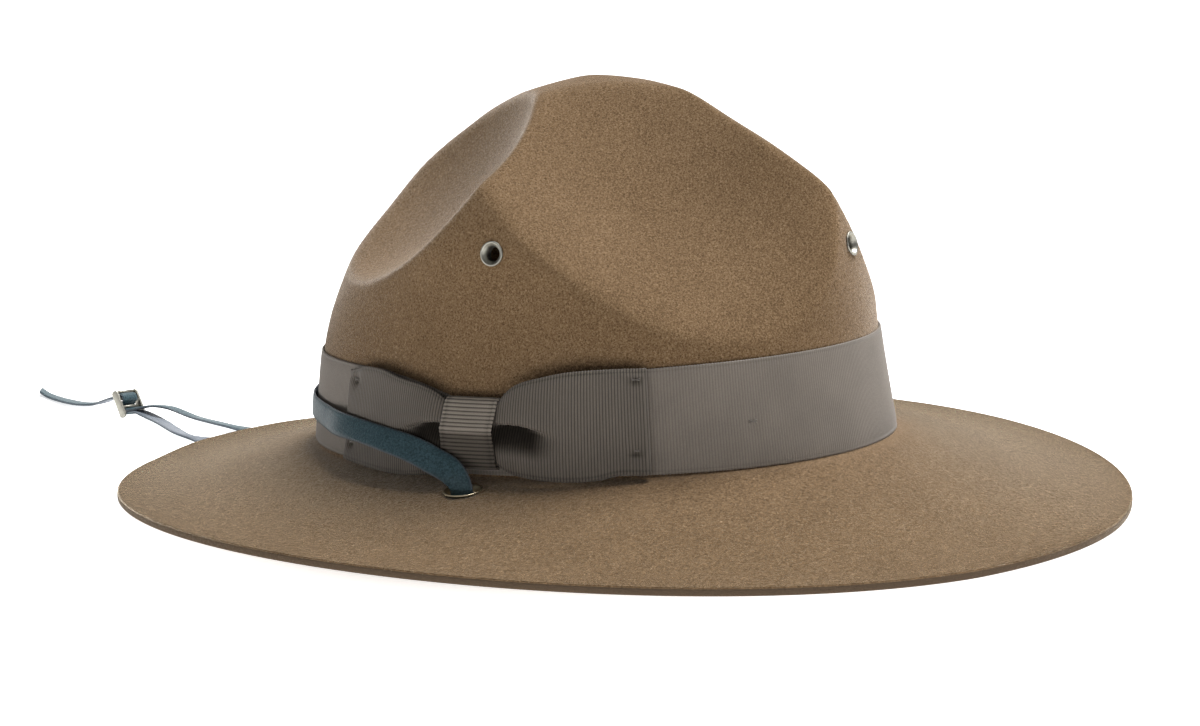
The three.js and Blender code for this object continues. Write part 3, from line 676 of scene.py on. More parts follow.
def add_camera():
    azimuth, elevation = math.radians(CAMERA_AZIMUTH), math.radians(CAMERA_ELEVATION)
    level = math.cos(elevation)
    back = Vector((math.sin(azimuth) * level, -math.cos(azimuth) * level, math.sin(elevation)))
    right = Vector((math.cos(azimuth), math.sin(azimuth), 0))
    turn = Matrix((right, back.cross(right), back)).transposed().to_4x4()
    data = bpy.data.cameras.new("camera")
    data.sensor_fit = "HORIZONTAL"
    data.lens = data.sensor_width * FOCAL / FRAME_WIDTH
    data.shift_x = -OFF_RIGHT / FRAME_WIDTH
    data.shift_y = -OFF_UP / FRAME_WIDTH
    data.clip_start, data.clip_end = 0.01, 50
    camera = bpy.data.objects.new("camera", data)
    bpy.context.scene.collection.objects.link(camera)
    roll = Matrix.Rotation(math.radians(CAMERA_ROLL), 4, "Z")
    camera.matrix_world = Matrix.Translation(CAMERA_AIM + back * CAMERA_DISTANCE) @ turn @ roll
    bpy.context.scene.camera = camera


add_camera()

# ---- Strap slide: where it stands, how it is turned and what it is made of ----
SLIDE_CENTRE = np.array([-39.1, -250.4, 5.8])
SLIDE_HEADING, SLIDE_SLOPE, SLIDE_LEAN = -104.1, 59.3, 8.6
SLIDE_LENGTH, SLIDE_INNER, SLIDE_PLATE, SLIDE_DEPTH = 11.6, 9.8, 1.0, 3.2
SLIDE_BAR, BAR_TENON = 1.2, 0.3  # the bars' thickness, and how far they run into the plates
SLIDE_BARS = ((-2.0, -0.8), (1.7, 3.0), (4.6, 5.8))  # where each bar starts and ends along the slide
BAR_ROUNDING, PLATE_ROUNDING, RIM_ROUNDING = 0.4, 1.3, 0.18
SLIDE_SQUEEZE = 0.92  # share of its width that the strap keeps inside


def slide_axes():
    """The slide's own directions: across it, along it and out of its face."""
    forward = np.array([cos(SLIDE_HEADING), sin(SLIDE_HEADING), 0])
    length = forward * cos(SLIDE_SLOPE) + np.array([0, 0, sin(SLIDE_SLOPE)])
    flat = np.array([forward[1], -forward[0], 0])
    width = flat * cos(SLIDE_LEAN) + np.cross(length, flat) * sin(SLIDE_LEAN)
    return width, length, np.cross(width, length)


SLIDE_W, SLIDE_L, SLIDE_N = slide_axes()

# ---- Chin strap ----
FLOOR = STRAP_THICK / 2 + 0.05  # the height of the strap's middle where it lies on the floor
# A strap row is its centre's x, y, z, the direction across it, and its share of the full width.
# The left run goes from the slide, under the brim, up through the left eyelet.
LEFT_RUN = [
    (-37.7, -244.3, 3.1, -0.98, 0.12, -0.13, 0.98),
    (-34.4, -234.5, 1.9, -0.95, 0.25, -0.17, 1),
    (-24.4, -220.1, 1.9, -0.85, 0.44, -0.28, 1),
    (-11.1, -201.1, 1.8, -0.81, 0.52, -0.27, 1),
    (-9.8, -189.8, FLOOR + 0.1, -0.85, 0.53, -0.02, 1),
    (2.0, -174.0, FLOOR, -0.75, 0.66, 0, 1),
    (20.0, -159.0, FLOOR, -0.55, 0.84, 0, 1),
    (44.0, -146.0, FLOOR, -0.5, 0.87, 0, 1),
    (67.0, -128.0, FLOOR, -0.66, 0.75, 0, 1),
    (89.0, -103.0, FLOOR, -0.81, 0.58, 0, 1),
    (104.0, -73.0, FLOOR, -0.93, 0.36, 0, 1),
    (111.0, -42.0, FLOOR, -0.99, 0.1, 0, 1),
    (112.0, -22.0, 1.6, -0.96, 0.26, 0, 1),
    (109.0, -9.0, 4.8, -0.7, 0.7, 0.1, 1),
    (104.6, -1.5, 9.8, -0.25, 0.96, 0.1, 0.96),
    (102.9, 0.8, 14.6, 0, 1, 0.05, 0.93),
    (102.5, 0.6, 19.8, -0.06, 1, 0.1, 0.93),
    (102.4, -1.6, 23.6, -0.26, 0.84, 0.45, 0.96),
    (101.9, -5.2, 26.2, -0.46, 0.6, 0.65, 1),
]
# Over the crown: azimuth, level, lift, and how far the strap leans off the wall.
OVER_CROWN = [
    (-3.7, 0.142, 10.3, 30), (-7.1, 0.21, 10.1, 34), (-11.2, 0.26, 9.6, 35), (-16.3, 0.302, 9.1, 34),
    (-21.5, 0.33, 8.2, 32), (-27, 0.345, 7.2, 24), (-33, 0.35, 5.7, 14), (-39, 0.354, 3.3, 6),
    (-46, 0.362, 2.3, 0), (-56, 0.37, 2.2, 0), (-68, 0.375, 2.2, 0), (-80, 0.38, 2.2, 0),
    (-92, 0.38, 2.2, 0), (-104, 0.38, 2.2, 0), (-116, 0.375, 2.2, 0), (-128, 0.37, 2.2, 0),
    (-140, 0.355, 2.2, 0), (-152, 0.325, 2.2, 0), (-162, 0.27, 2.4, 0), (-170, 0.19, 3.6, 0),
    (-175.5, 0.1, 5.8, 0),
]
# The right run goes down through the right eyelet and back to the slide.
RIGHT_RUN = [
    (-92.4, 0.7, 23.4, 0.02, 0.95, 0.3, 0.93),
    (-93.0, 1.1, 19.2, 0, 1, 0, 0.92),
    (-93.7, 0.9, 14.6, 0, 1, 0, 0.93),
    (-96.0, -1.5, 9.8, -0.25, 0.96, -0.1, 0.96),
    (-100.5, -9.0, 4.8, -0.7, 0.7, -0.1, 1),
    (-103.5, -22.0, 1.6, -0.96, 0.26, 0, 1),
    (-104.0, -42.0, FLOOR, -0.99, -0.05, 0, 1),
    (-101.0, -73.0, FLOOR, -0.98, -0.2, 0, 1),
    (-91.0, -102.0, FLOOR, -0.91, -0.42, 0, 1),
    (-74.0, -127.0, FLOOR, -0.78, -0.62, 0, 1),
    (-53.0, -146.0, FLOOR, -0.74, -0.67, 0, 1),
    (-38.5, -163.0, FLOOR, -0.88, -0.48, 0, 1),
    (-33.5, -180.0, FLOOR, -1, -0.05, 0, 1),
    (-33.9, -194.0, 1.4, -0.95, 0.27, -0.17, 1),
    (-38.4, -207.4, 1.5, -0.94, 0.29, -0.2, 1),
    (-43.1, -220.5, 1.7, -0.98, -0.05, -0.2, 1),
    (-39.7, -229.5, 5.3, -0.96, -0.24, -0.14, 1),
    (-40.5, -239.2, 5.2, -0.98, -0.14, -0.14, 1),
    (-38.3, -244.7, 4.3, -1, 0.09, -0.01, 0.99),
]
# Where the strap starts in the slide and runs through it: along the slide, and out from its middle.
SLIDE_START = (-4.2, -0.4)
THROUGH_SLIDE = (
    (-2.75, 0.3), (-2.75, -1.3), (-0.9, -1.9), (0.55, 0), (0.9, 1.2), (2.3, 1.55), (3.6, 1.2), (3.8, 0),
    (3.65, -1.8),
)
TAIL = [
    (-41.5, -258.5, 7.1, -0.98, 0.2, -0.03, 1),
    (-46.0, -266.0, 5.4, -0.94, 0.32, 0.14, 1),
    (-50.5, -275.0, 2.2, -0.96, 0.27, 0.03, 1),
    (-51.2, -285.1, 1.0, -1, 0, -0.09, 1),
    (-55.1, -298.6, 0.85, -0.93, -0.36, -0.06, 1),
    (-61.8, -312.0, 0.75, -0.86, -0.51, 0, 1),
    (-67.0, -321.0, 1.55, -0.85, -0.52, 0.02, 1),
]
DRAWN_IN = 0.12  # share of its width that the strap loses over the crown
EDGE_SKIN = 0.97  # half width of the strap's middle surface, before its edges round out
STRAP_SHARES = np.array([-1, -0.97, -0.9, -0.6, -0.2, 0.2, 0.6, 0.9, 0.97, 1])
STRAP_STEPS = 900


def slide_row(along, out):
    return (*(SLIDE_CENTRE + SLIDE_L * along + SLIDE_N * out), *SLIDE_W, SLIDE_SQUEEZE)


def crown_run():
    """The strap's rows over the crown, square to its route and leaning off the wall."""
    azimuth, level, lift, lean = smooth_rows(OVER_CROWN, np.linspace(0, 1, 26)).T
    point = wall(azimuth, level, lift)
    normal = skin_normal(azimuth, 2 + level * BAND_SHARE)
    forward = unit(np.gradient(point, axis=0))
    across = unit(np.cross(forward, normal))
    across = across * cos(lean)[:, None] + np.cross(forward, across) * sin(lean)[:, None]
    drawn = 1 - DRAWN_IN * step(-9, -22, azimuth) * step(-168, -150, azimuth)
    return np.hstack([point, across, drawn[:, None]])


def strap_rows():
    start = [slide_row(*SLIDE_START)]
    through = [slide_row(*place) for place in THROUGH_SLIDE]
    return np.vstack([start, LEFT_RUN, crown_run(), RIGHT_RUN, through, TAIL])


def build_strap():
    rows = smooth_rows(strap_rows(), np.linspace(0, 1, STRAP_STEPS))
    centre = rows[:, :3]
    half = unit(rows[:, 3:6]) * (rows[:, 6:7] * STRAP_WIDTH / 2)
    middle = centre[:, None] + half[:, None] * STRAP_SHARES[None, :, None] * EDGE_SKIN
    out = np.abs(STRAP_SHARES)
    crowned = 0.12 * (1 - out ** 2) - 0.22 * step(0.88, 1.0, out)
    edge = step(0.93, 1.0, out)
    # The strip's front is the suede side, which shows pale where the strap has turned over.
    strap = strip_piece("leather_strap", middle, STRAP_THICK - 0.1, crowned, round_edge=0.1, edge=edge)
    strap.data.materials.append(LEATHER_PAINT)
    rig.replaces(strap, "chin_strap")
    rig.slot(strap, "leather")
    path = centre[::3] * MM
    length = float(np.linalg.norm(np.diff(path, axis=0), axis=1).sum())
    return strap, path, round(length, 3)


strap, strap_path, strap_length = build_strap()


def edges_of(work, verts):
    """The edges that touch these vertices, in the bmesh's own order."""
    wanted = set(verts)
    return [edge for edge in work.edges if not wanted.isdisjoint(edge.verts)]


def block(work, low, high):
    """A box between two corners, added to a bmesh. Returns its edges."""
    low, high = np.array(low, float), np.array(high, float)
    verts = bmesh.ops.create_cube(work, size=1)["verts"]
    bmesh.ops.scale(work, vec=high - low, verts=verts)
    bmesh.ops.translate(work, vec=(low + high) / 2, verts=verts)
    return edges_of(work, verts)


def run_across(edges):
    """The edges of a bmesh that run along X."""
    return [e for e in edges if abs(e.verts[0].co.x - e.verts[1].co.x) > 0.5]


def soften(work, edges, radius, segments):
    """Rounds edges over. Returns the new vertices."""
    made = bmesh.ops.bevel(work, geom=edges, offset=radius, segments=segments, profile=0.5,
                           affect="EDGES", material=-1)
    return made["verts"]


def build_slide():
    """A small metal ladder: two side plates with bars between them."""
    work = bmesh.new()
    width, length, depth = SLIDE_INNER / 2, SLIDE_LENGTH / 2, SLIDE_DEPTH / 2
    reach, thick = width + BAR_TENON, SLIDE_BAR / 2
    for low, high in SLIDE_BARS:
        edges = block(work, (-reach, low, -thick), (reach, high, thick))
        soften(work, run_across(edges), BAR_ROUNDING, 4)
    for side in (-1, 1):
        low, high = sorted((side * width, side * (width + SLIDE_PLATE)))
        edges = block(work, (low, -length, -depth), (high, length, depth))
        verts = soften(work, run_across(edges), PLATE_ROUNDING, 8)
        sharp = [e for e in edges_of(work, verts) if abs(e.calc_face_angle(0)) > 1.2]
        soften(work, sharp, RIM_ROUNDING, 3)
    turn = Matrix((SLIDE_W, SLIDE_L, SLIDE_N)).transposed().to_4x4()
    bmesh.ops.transform(work, matrix=Matrix.Translation(Vector(SLIDE_CENTRE)) @ turn, verts=work.verts)
    slide = finish_mesh("metal_slide", work)
    slide.data.materials.append(NICKEL_PAINT)
    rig.replaces(slide, "strap_slide")
    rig.slot(slide, "nickel")
    return slide


slide = build_slide()
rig.cord(strap, exit=strap_path[0], length=strap_length, diameter=STRAP_WIDTH * MM, far_end="bare",
        stiffness="limp", lay="loose", path=strap_path, with_pieces=[slide])


# ---- Felt body with its eyelet holes ----
# An eyelet's side, its azimuth, and its share of the way up the crown or out over the brim.
CROWN_EYELETS = (("left", 3.7, 0.349), ("right", 176.3, 0.349), ("front", -90.0, 0.33), ("rear", 91.8, 0.328))
BRIM_EYELETS = (("left", 1.8, 0.079), ("right", 178.2, 0.079))
# The radii of an eyelet's hole, barrel and flange.
CROWN_EYELET_SIZE = (2.35, 2.9, 4.1)
BRIM_EYELET_SIZE = (5.2, 5.7, 6.6)
BARREL_ROOM, PUNCH_LENGTH = 0.25, 14


def seat(azimuth, place, level=0.0):
    """An eyelet's place on the felt, +Z along the felt's normal, turned upright by the share `level`."""
    azimuth, place = np.array(azimuth), np.array(place)
    point = Vector(skin(azimuth, place))
    normal = Vector(skin_normal(azimuth, place)).lerp(Vector((0, 0, 1)), level).normalized()
    return Matrix.Translation(point) @ normal.to_track_quat("Z", "Y").to_matrix().to_4x4()


SEATS = [("crown_eyelet_" + side, seat(azimuth, 2 + rise), CROWN_EYELET_SIZE)
         for side, azimuth, rise in CROWN_EYELETS]
SEATS += [("brim_eyelet_" + side, seat(azimuth, 1 - reach, 0.5), BRIM_EYELET_SIZE)
          for side, azimuth, reach in BRIM_EYELETS]


def punch_holes(felt):
    work = bmesh.new()
    for _, place, (_, barrel, _) in SEATS:
        radius = barrel + BARREL_ROOM
        made = bmesh.ops.create_cone(work, cap_ends=True, segments=32, radius1=radius, radius2=radius,
                                     depth=PUNCH_LENGTH)
        bmesh.ops.transform(work, matrix=place, verts=made["verts"])
    punch = finish_mesh("punch", work)
    cut = felt.modifiers.new("holes", "BOOLEAN")
    cut.operation, cut.solver, cut.object = "DIFFERENCE", "EXACT", punch
    applied = bpy.data.meshes.new_from_object(felt.evaluated_get(bpy.context.evaluated_depsgraph_get()))
    felt.modifiers.clear()
    felt.data = applied
    bpy.data.objects.remove(punch)


FELT_COLUMNS = 288
# The rim is cut square, with its corners worn a little round: how far in and down each ring lies.
RIM_RINGS = (
    (0.8, FELT), (0.3, FELT - 0.08), (0.05, FELT - 0.4), (0, FELT * 0.65), (0, FELT * 0.35), (0.05, 0.4),
    (0.3, 0.08),
)
RIM_TOP_IN = 0.6
# The brim is brushed into a coarser nap than the crown: its share at places from the rim inwards.
NAP_PLACES = (0, 0.45, 0.85, 1, 1.4)
NAP_SHARES = (1, 0.9, 0.45, 0.2, 0)


def felt_rim(azimuth):
    """The rings round the cut rim, from the lower corner up, and the first ring of the top."""
    rim = skin(azimuth, 0 * azimuth)
    outward = unit(np.stack([cos(azimuth) / BRIM_X, sin(azimuth) / BRIM_Y, 0 * azimuth], -1))
    rings = []
    for inset, down in RIM_RINGS:
        ring = rim - outward * inset
        ring[:, 2] = np.maximum(ring[:, 2] - down, 0)
        rings.append(ring)
    return rings, rim - outward * RIM_TOP_IN


def build_felt():
    azimuth = -270 + 360 * np.arange(FELT_COLUMNS) / FELT_COLUMNS
    brim_rows = (1 - np.linspace(1, 0, 30)[:-1] ** 1.15)[1:]
    outer = np.concatenate([[0.0, 0.004, 0.012], brim_rows, np.linspace(1, 2, 9)[:-1],
                            2 + np.linspace(0, 0.985, 105), [2.993, 3.0]])
    inner = np.concatenate([[0.012], brim_rows, np.linspace(1, 2, 7)[:-1],
                            2 + np.linspace(0, 0.98, 60), [3.0]])[::-1]
    top = skin(azimuth, outer[:, None])
    bottom = skin_off(azimuth, inner[:, None], -FELT)
    bottom[..., 2] = np.maximum(bottom[..., 2], 0)
    rings, top[0] = felt_rim(azimuth)
    top[1] = top[1] * 0.5 + top[2] * 0.5
    points = np.concatenate([bottom, rings, top], 0)
    # The cut rim's rows, which the felt paints darker, as shade.
    cut = np.zeros(points.shape[:2])
    cut[len(bottom) + 1:len(bottom) + 6] = 1
    places = np.concatenate([inner, np.zeros(len(rings)), outer])
    brushed = np.broadcast_to(np.interp(places, NAP_PLACES, NAP_SHARES)[:, None], cut.shape)
    felt = grid_piece("felt_hat", points, close_columns=True, cut=cut, brushed=brushed)
    punch_holes(felt)
    felt.data.materials.append(FELT_PAINT)
    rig.replaces(felt, "felt_body")
    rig.slot(felt, "felt")


build_felt()

# ---- Eyelets ----
def ring_profile(hole, barrel, flange):
    """Radius and height of an eyelet's section: a thin rolled rim and a funnel down to the hole."""
    back = -FELT - 0.9
    rim = flange - 0.38
    return [
        (hole, back - 0.2), (mix(hole, flange, 0.5), back - 0.55), (flange - 0.5, back - 0.3),
        (flange - 0.4, back + 0.1), (barrel, back + 0.1), (barrel, 0.0), (flange - 0.15, 0.05),
        (flange, 0.2), (flange - 0.05, 0.42), (rim, 0.56), (rim - 0.3, 0.42), (rim - 0.5, 0.12),
        (mix(hole, rim, 0.35), -0.35), (hole + 0.05, -0.9), (hole, -1.6),
    ]


def build_eyelets():
    for name, place, size in SEATS:
        work = bmesh.new()
        verts = [work.verts.new((radius, 0, height)) for radius, height in ring_profile(*size)]
        edges = [work.edges.new((a, b)) for a, b in zip(verts, verts[1:] + verts[:1])]
        bmesh.ops.spin(work, geom=verts + edges, cent=(0, 0, 0), axis=(0, 0, 1), angle=2 * math.pi,
                       steps=48, use_merge=True)
        bmesh.ops.transform(work, matrix=place, verts=work.verts)
        ring = finish_mesh("ring_" + name, work)
        ring.data.materials.append(NICKEL_PAINT if name.startswith("crown") else BRASS_PAINT)
        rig.replaces(ring, name)
        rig.slot(ring, "nickel" if name.startswith("crown") else "brass")


build_eyelets()

# ---- Ribbon band ----
RIB_PITCH, RIB_HEIGHT = 1.0, 0.15
SCALLOP = 0.22  # how far each rib pushes out a ribbon's woven edge
BAND_RIBS, STEPS_PER_RIB = 600, 4
# The band's top edge is drawn down behind the bow.
DIP_DEPTH, DIP_AZIMUTH, DIP_SPREAD, DIP_POWER = 0.32, 2, 14.2, 1.6
WIDE_DIP_DEPTH, WIDE_DIP_SPREAD = 0.03, 60
# The band's end laps over its start beside the bow, and a tack pulls it in.
LAP_HEIGHT, LAP_START, LAP_FULL, LAP_GONE = 0.35, 33.4, 33.7, 90
BAND_TACK = (54.7, 0.43)


def across_shares(count):
    """Shares across a ribbon, closer together at its woven edges."""
    inner = np.linspace(0.05, 0.95, count)
    return np.concatenate([[0, 0.012, 0.03], inner, [0.97, 0.988, 1]])


def rib_wave(rows, ribs):
    return 0.5 + 0.5 * np.cos(2 * np.pi * ribs * rows)


def woven(ribs_along, shares, width):
    """The relief of a ribbon and its rib value, with a fine groove inside each woven edge."""
    edge = np.minimum(shares, 1 - shares) * width
    groove = bump(edge, 1.0, 0.25)
    wave = np.broadcast_to(ribs_along, (len(ribs_along), len(shares)))
    rib = wave * (1 - 0.7 * groove) * np.where(edge < 0.7, 0.8, 1)
    relief = RIB_HEIGHT * (rib - 0.5) - 0.06 * groove
    return relief, rib


def band_drop(azimuth):
    """How far the band's top edge is drawn down behind the bow, as a share of its height."""
    away = np.abs(azimuth - DIP_AZIMUTH)
    narrow = DIP_DEPTH * np.exp(-((away / DIP_SPREAD) ** DIP_POWER))
    return narrow + WIDE_DIP_DEPTH * np.exp(-((away / WIDE_DIP_SPREAD) ** 2))


def build_band():
    count = BAND_RIBS * STEPS_PER_RIB
    around = np.arange(count) / count
    azimuth = -270 + 360 * around
    shares = across_shares(9)
    low = 0.025 * (1 - sin(azimuth))
    high = 1 + 0.09 * sin(azimuth) - band_drop((azimuth + 180) % 360 - 180)
    wave = rib_wave(around, BAND_RIBS)[:, None]
    scallop = SCALLOP / BAND_HEIGHT * wave[:, 0]
    level = mix((low - scallop)[:, None], (high + scallop)[:, None], shares[None])
    lap = LAP_HEIGHT * step(LAP_START, LAP_FULL, azimuth) * (1 - step(LAP_FULL, LAP_GONE, azimuth))
    tack = -0.3 * bump(azimuth[:, None], BAND_TACK[0], 1.1) * bump(level, BAND_TACK[1], 0.05)
    middle = wall(azimuth[:, None], level, 0.5 + lap[:, None] + tack)
    relief, rib = woven(wave, shares, BAND_HEIGHT)
    band = strip_piece("ribbon_band", middle, RIBBON - 0.1, relief, closed=True, rib=rib)
    band.data.materials.append(RIBBON_PAINT)
    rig.replaces(band, "hat_band")
    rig.slot(band, "ribbon")
    line = middle[:, middle.shape[1] // 2]
    length = np.linalg.norm(line - np.roll(line, 1, axis=0), axis=1).sum()
    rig.sheet(band, flat=(BAND_HEIGHT * MM, length * MM), held="stretched", rests_on=["felt_hat"])


build_band()

# ---- Bow ----
# A loop's row is its azimuth, the levels of its lower and upper edge, its lift, how deep and at
# what level its pleat lies, and how far its middle swells out.
REAR_LOOP = [
    (2.2, 0.21, 0.62, 4.1, 1.6, 0.4, 1.9),
    (5.6, 0.19, 0.64, 4.1, 2.2, 0.4, 2.0),
    (6.9, 0.125, 0.7, 4.3, 2.8, 0.395, 2.2),
    (8.2, 0.075, 0.78, 4.6, 3.6, 0.39, 2.4),
    (9.8, 0.04, 0.85, 5.0, 4.2, 0.385, 2.4),
    (11.8, 0.018, 0.9, 5.4, 4.0, 0.375, 2.2),
    (14.6, -0.006, 0.942, 5.8, 2.4, 0.35, 1.9),
    (17.2, -0.02, 0.978, 6.0, 0.9, 0.34, 1.6),
    (20.2, -0.028, 1.011, 5.9, 0.2, 0.34, 1.3),
    (24.3, -0.018, 1.03, 5.2, 0.0, 0.36, 0.9),
    (28.8, 0.028, 1.039, 4.4, 0.0, 0.5, 0.5),
    (33.4, 0.02, 1.037, 3.6, 0.0, 0.5, 0.1),
]
FRONT_LOOP = [
    (0.8, 0.21, 0.61, 4.1, 1.6, 0.41, 1.9),
    (-2.6, 0.19, 0.63, 4.1, 2.2, 0.4, 2.0),
    (-4.0, 0.12, 0.68, 4.3, 2.8, 0.39, 2.1),
    (-5.4, 0.06, 0.735, 4.6, 3.4, 0.385, 2.2),
    (-7.4, 0.015, 0.785, 4.9, 3.6, 0.375, 2.0),
    (-9.8, -0.005, 0.825, 5.2, 2.6, 0.36, 1.5),
    (-14.2, -0.022, 0.866, 5.2, 0.6, 0.33, 0.7),
    (-20.0, -0.01, 0.935, 4.6, 0.0, 0.3, 0.4),
    (-25.0, 0.008, 0.94, 4.0, 0.0, 0.4, 0.3),
    (-28.0, 0.02, 0.906, 3.7, 0.0, 0.5, 0.2),
    (-30.6, 0.035, 0.872, 3.4, 0.0, 0.5, 0.0),
]
REAR_WIDTH, FRONT_WIDTH, LOOP_BACK = 34.0, 31.0, 1.85
# A tack stitch's azimuth and level.
REAR_TACKS = ((32.2, 0.92), (31.8, 0.24))
FRONT_TACKS = ((-28.3, 0.79), (-28.9, 0.2))
KNOT_AZIMUTH, KNOT_HALF, KNOT_BACK = 1.5, 5.2, 1.85
KNOT_WIDTH, KNOT_PITCH = 17.6, 1.3
# The knot's back upwards and its front downwards, as level and lift. The front is drawn to a ridge.
KNOT_BEHIND = [(0.115, KNOT_BACK), (0.4, KNOT_BACK), (0.685, KNOT_BACK)]
KNOT_FRONT = [(0.725, 3.4), (0.69, 5.3), (0.58, 6.7), (0.43, 8.2), (0.27, 6.9), (0.12, 5.4), (0.075, 3.4)]


def loop_front(rows, shares, tacks):
    """A loop's front: the level and lift of its points, and how much painted shade lies on them."""
    azimuth, low, high, lift, pleat, pleat_level, swell = (column[:, None] for column in rows.T)
    level = mix(low, high, shares[None])
    fold = bump(level, pleat_level, 0.065)
    front = lift + swell * (1 - (2 * shares - 1) ** 2) - pleat * fold
    # Under the pleat the painted shade starts sharply and fades downwards.
    hollow = step(pleat_level + 0.012, pleat_level - 0.025, level)
    hollow = hollow * step(pleat_level - 0.2, pleat_level - 0.07, level)
    shade = np.clip(pleat / 2.6 - 0.25, 0, 0.88) * hollow
    for tack_azimuth, tack_level in tacks:
        front = front - 1.1 * bump(azimuth, tack_azimuth, 1.3) * bump(level, tack_level, 0.07)
        # Painted shade just under each tack.
        tack_shadow = bump(azimuth, tack_azimuth, 1.2) * bump(level, tack_level - 0.035, 0.018)
        shade = np.maximum(shade, 0.7 * tack_shadow)
    # The lower corner at the far end stands off, and the upper one is pinched in.
    far = step(0.78, 1, np.linspace(0, 1, len(rows)))[:, None]
    front = front + far * (0.6 * (1 - shares) ** 6 - 0.5 * bump(shares, 0.93, 0.05))
    return level, level + 0.035 * pleat * fold, np.maximum(front, 2.75), shade


def loop_middle(table, tacks):
    """The middle surface of a bow loop: its front, the fold at its far end and the layer behind, with the painted
    shade on its front.
    """
    shares = across_shares(31)
    rows = smooth_rows(table, np.linspace(0, 1, 400))
    level, tucked, front, shade = loop_front(rows, shares, tacks)
    outward = np.sign(table[-1][0] - table[0][0])
    turn = np.linspace(0, np.pi, 14)[1:-1, None]
    end_level = np.broadcast_to(level[-1:], (len(turn), len(shares)))
    fold_lift = mix(LOOP_BACK, front[-1:], 0.5 + 0.5 * np.cos(turn))
    azimuth = np.concatenate([rows[:, :1], rows[-1, 0] + outward * 0.75 * np.sin(turn), rows[::-1, :1]], 0)
    level = np.concatenate([tucked, end_level, level[::-1] - 0.012], 0)
    lift = np.concatenate([front, fold_lift, np.full(front.shape, LOOP_BACK)], 0)
    deep = np.concatenate([shade, 0 * end_level, 0 * shade], 0)
    return wall(azimuth, level, lift), shares, deep


def even_rows(middle, spacing, value):
    """Reads a strip again at even steps along its length, so that its ribs are all alike."""
    line = middle[:, middle.shape[1] // 2]
    travelled = np.concatenate([[0], np.cumsum(np.linalg.norm(np.diff(line, axis=0), axis=1))])
    count = int(travelled[-1] / spacing)
    wanted = np.linspace(0, travelled[-1], count + 1)
    flat = middle.reshape(len(middle), -1)
    read = np.stack([np.interp(wanted, travelled, column) for column in flat.T], -1)
    value = np.stack([np.interp(wanted, travelled, column) for column in value.T], -1)
    return read.reshape(len(wanted), *middle.shape[1:]), travelled[-1], value


def bow_piece(name, node, middle, shares, deep, width, closed=False, pitch=RIB_PITCH, paint=SHADED_BOW_PAINT):
    middle, length, deep = even_rows(middle, pitch / 5, deep)
    if closed:
        middle, deep = middle[:-1], deep[:-1]
    ribs = round(length / pitch)
    wave = rib_wave(np.linspace(0, 1, len(middle), endpoint=not closed), ribs)[:, None]
    sideways = unit(np.gradient(middle, axis=1))
    middle[:, 0] -= sideways[:, 0] * SCALLOP * wave
    middle[:, -1] += sideways[:, -1] * SCALLOP * wave
    relief, rib = woven(wave, shares, width)
    piece = strip_piece(name, middle, RIBBON - 0.15, relief, closed=closed, rib=rib, deep=deep)
    piece.data.materials.append(paint)
    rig.replaces(piece, node)
    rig.slot(piece, "ribbon")
    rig.sheet(piece, flat=(width * MM, length * MM), held="folded", rests_on=["ribbon_band"])


def knot_middle():
    """The knot's middle surface: a ribbon wrapped upright round the bow, with painted shade along its crease and over
    its lower front.
    """
    ring = np.array(KNOT_BEHIND + KNOT_FRONT)
    wrapped = np.vstack([ring[-2:], ring, ring[:3]])
    steps = (np.linspace(0, len(ring), 500) + 2) / (len(wrapped) - 1)
    level, lift = smooth_rows(wrapped, steps).T[:, :, None]
    shares = across_shares(11)
    waist = 1 - 0.05 * bump(level, 0.42, 0.2)
    azimuth = KNOT_AZIMUTH + KNOT_HALF * (2 * shares[None] - 1) * waist
    lift = lift + 0.4 * bump(level, 0.435, 0.035) * step(3, 6, lift)
    azimuth, level, lift = np.broadcast_arrays(azimuth, level, lift)
    # Painted shade: a thin line along the knot's crease and the lower half of its front.
    shade = (0.25 * bump(level, 0.4, 0.018) + 0.65 * step(0.43, 0.36, level)) * step(3.5, 5, lift)
    return wall(azimuth, level, lift), shares, shade


bow_piece("bow_loop_rear", "bow_rear_loop", *loop_middle(REAR_LOOP, REAR_TACKS), REAR_WIDTH)
bow_piece("bow_loop_front", "bow_front_loop", *loop_middle(FRONT_LOOP, FRONT_TACKS), FRONT_WIDTH)
bow_piece("bow_knot_wrap", "bow_knot", *knot_middle(), KNOT_WIDTH, closed=True, pitch=KNOT_PITCH,
          paint=LIT_KNOT_PAINT)

# ---- Tack stitches ----
THREAD_RADIUS = 0.15
REAR_TACK_LIFT, FRONT_TACK_LIFT, BAND_TACK_LIFT = 3.35, 3.4, 1.1
# Half of a stitch's length and slant, how far it arches, and how deep its ends are sunk.
STITCH_HALF, STITCH_SLANT, STITCH_ARCH, STITCH_SINK = 0.85, 0.012, 0.45, 0.2


def thread(work, points):
    """A short thread as a tube along the points, added to a bmesh."""
    rings = []
    for point, ahead in zip(points, unit(np.gradient(points, axis=0))):
        turn = Vector(ahead).to_track_quat("Z", "Y").to_matrix().to_4x4()
        made = bmesh.ops.create_circle(work, segments=8, radius=THREAD_RADIUS, cap_ends=False,
                                       matrix=Matrix.Translation(Vector(point)) @ turn)
        rings.append(made["verts"])
    for first, second in zip(rings, rings[1:]):
        edges = [e for e in edges_of(work, first + second) if (e.verts[0] in first) == (e.verts[1] in first)]
        bmesh.ops.bridge_loops(work, edges=[e for e in edges if e.is_wire or e.is_boundary])
    for end in (rings[0], rings[-1]):
        bmesh.ops.contextual_create(work, geom=end)


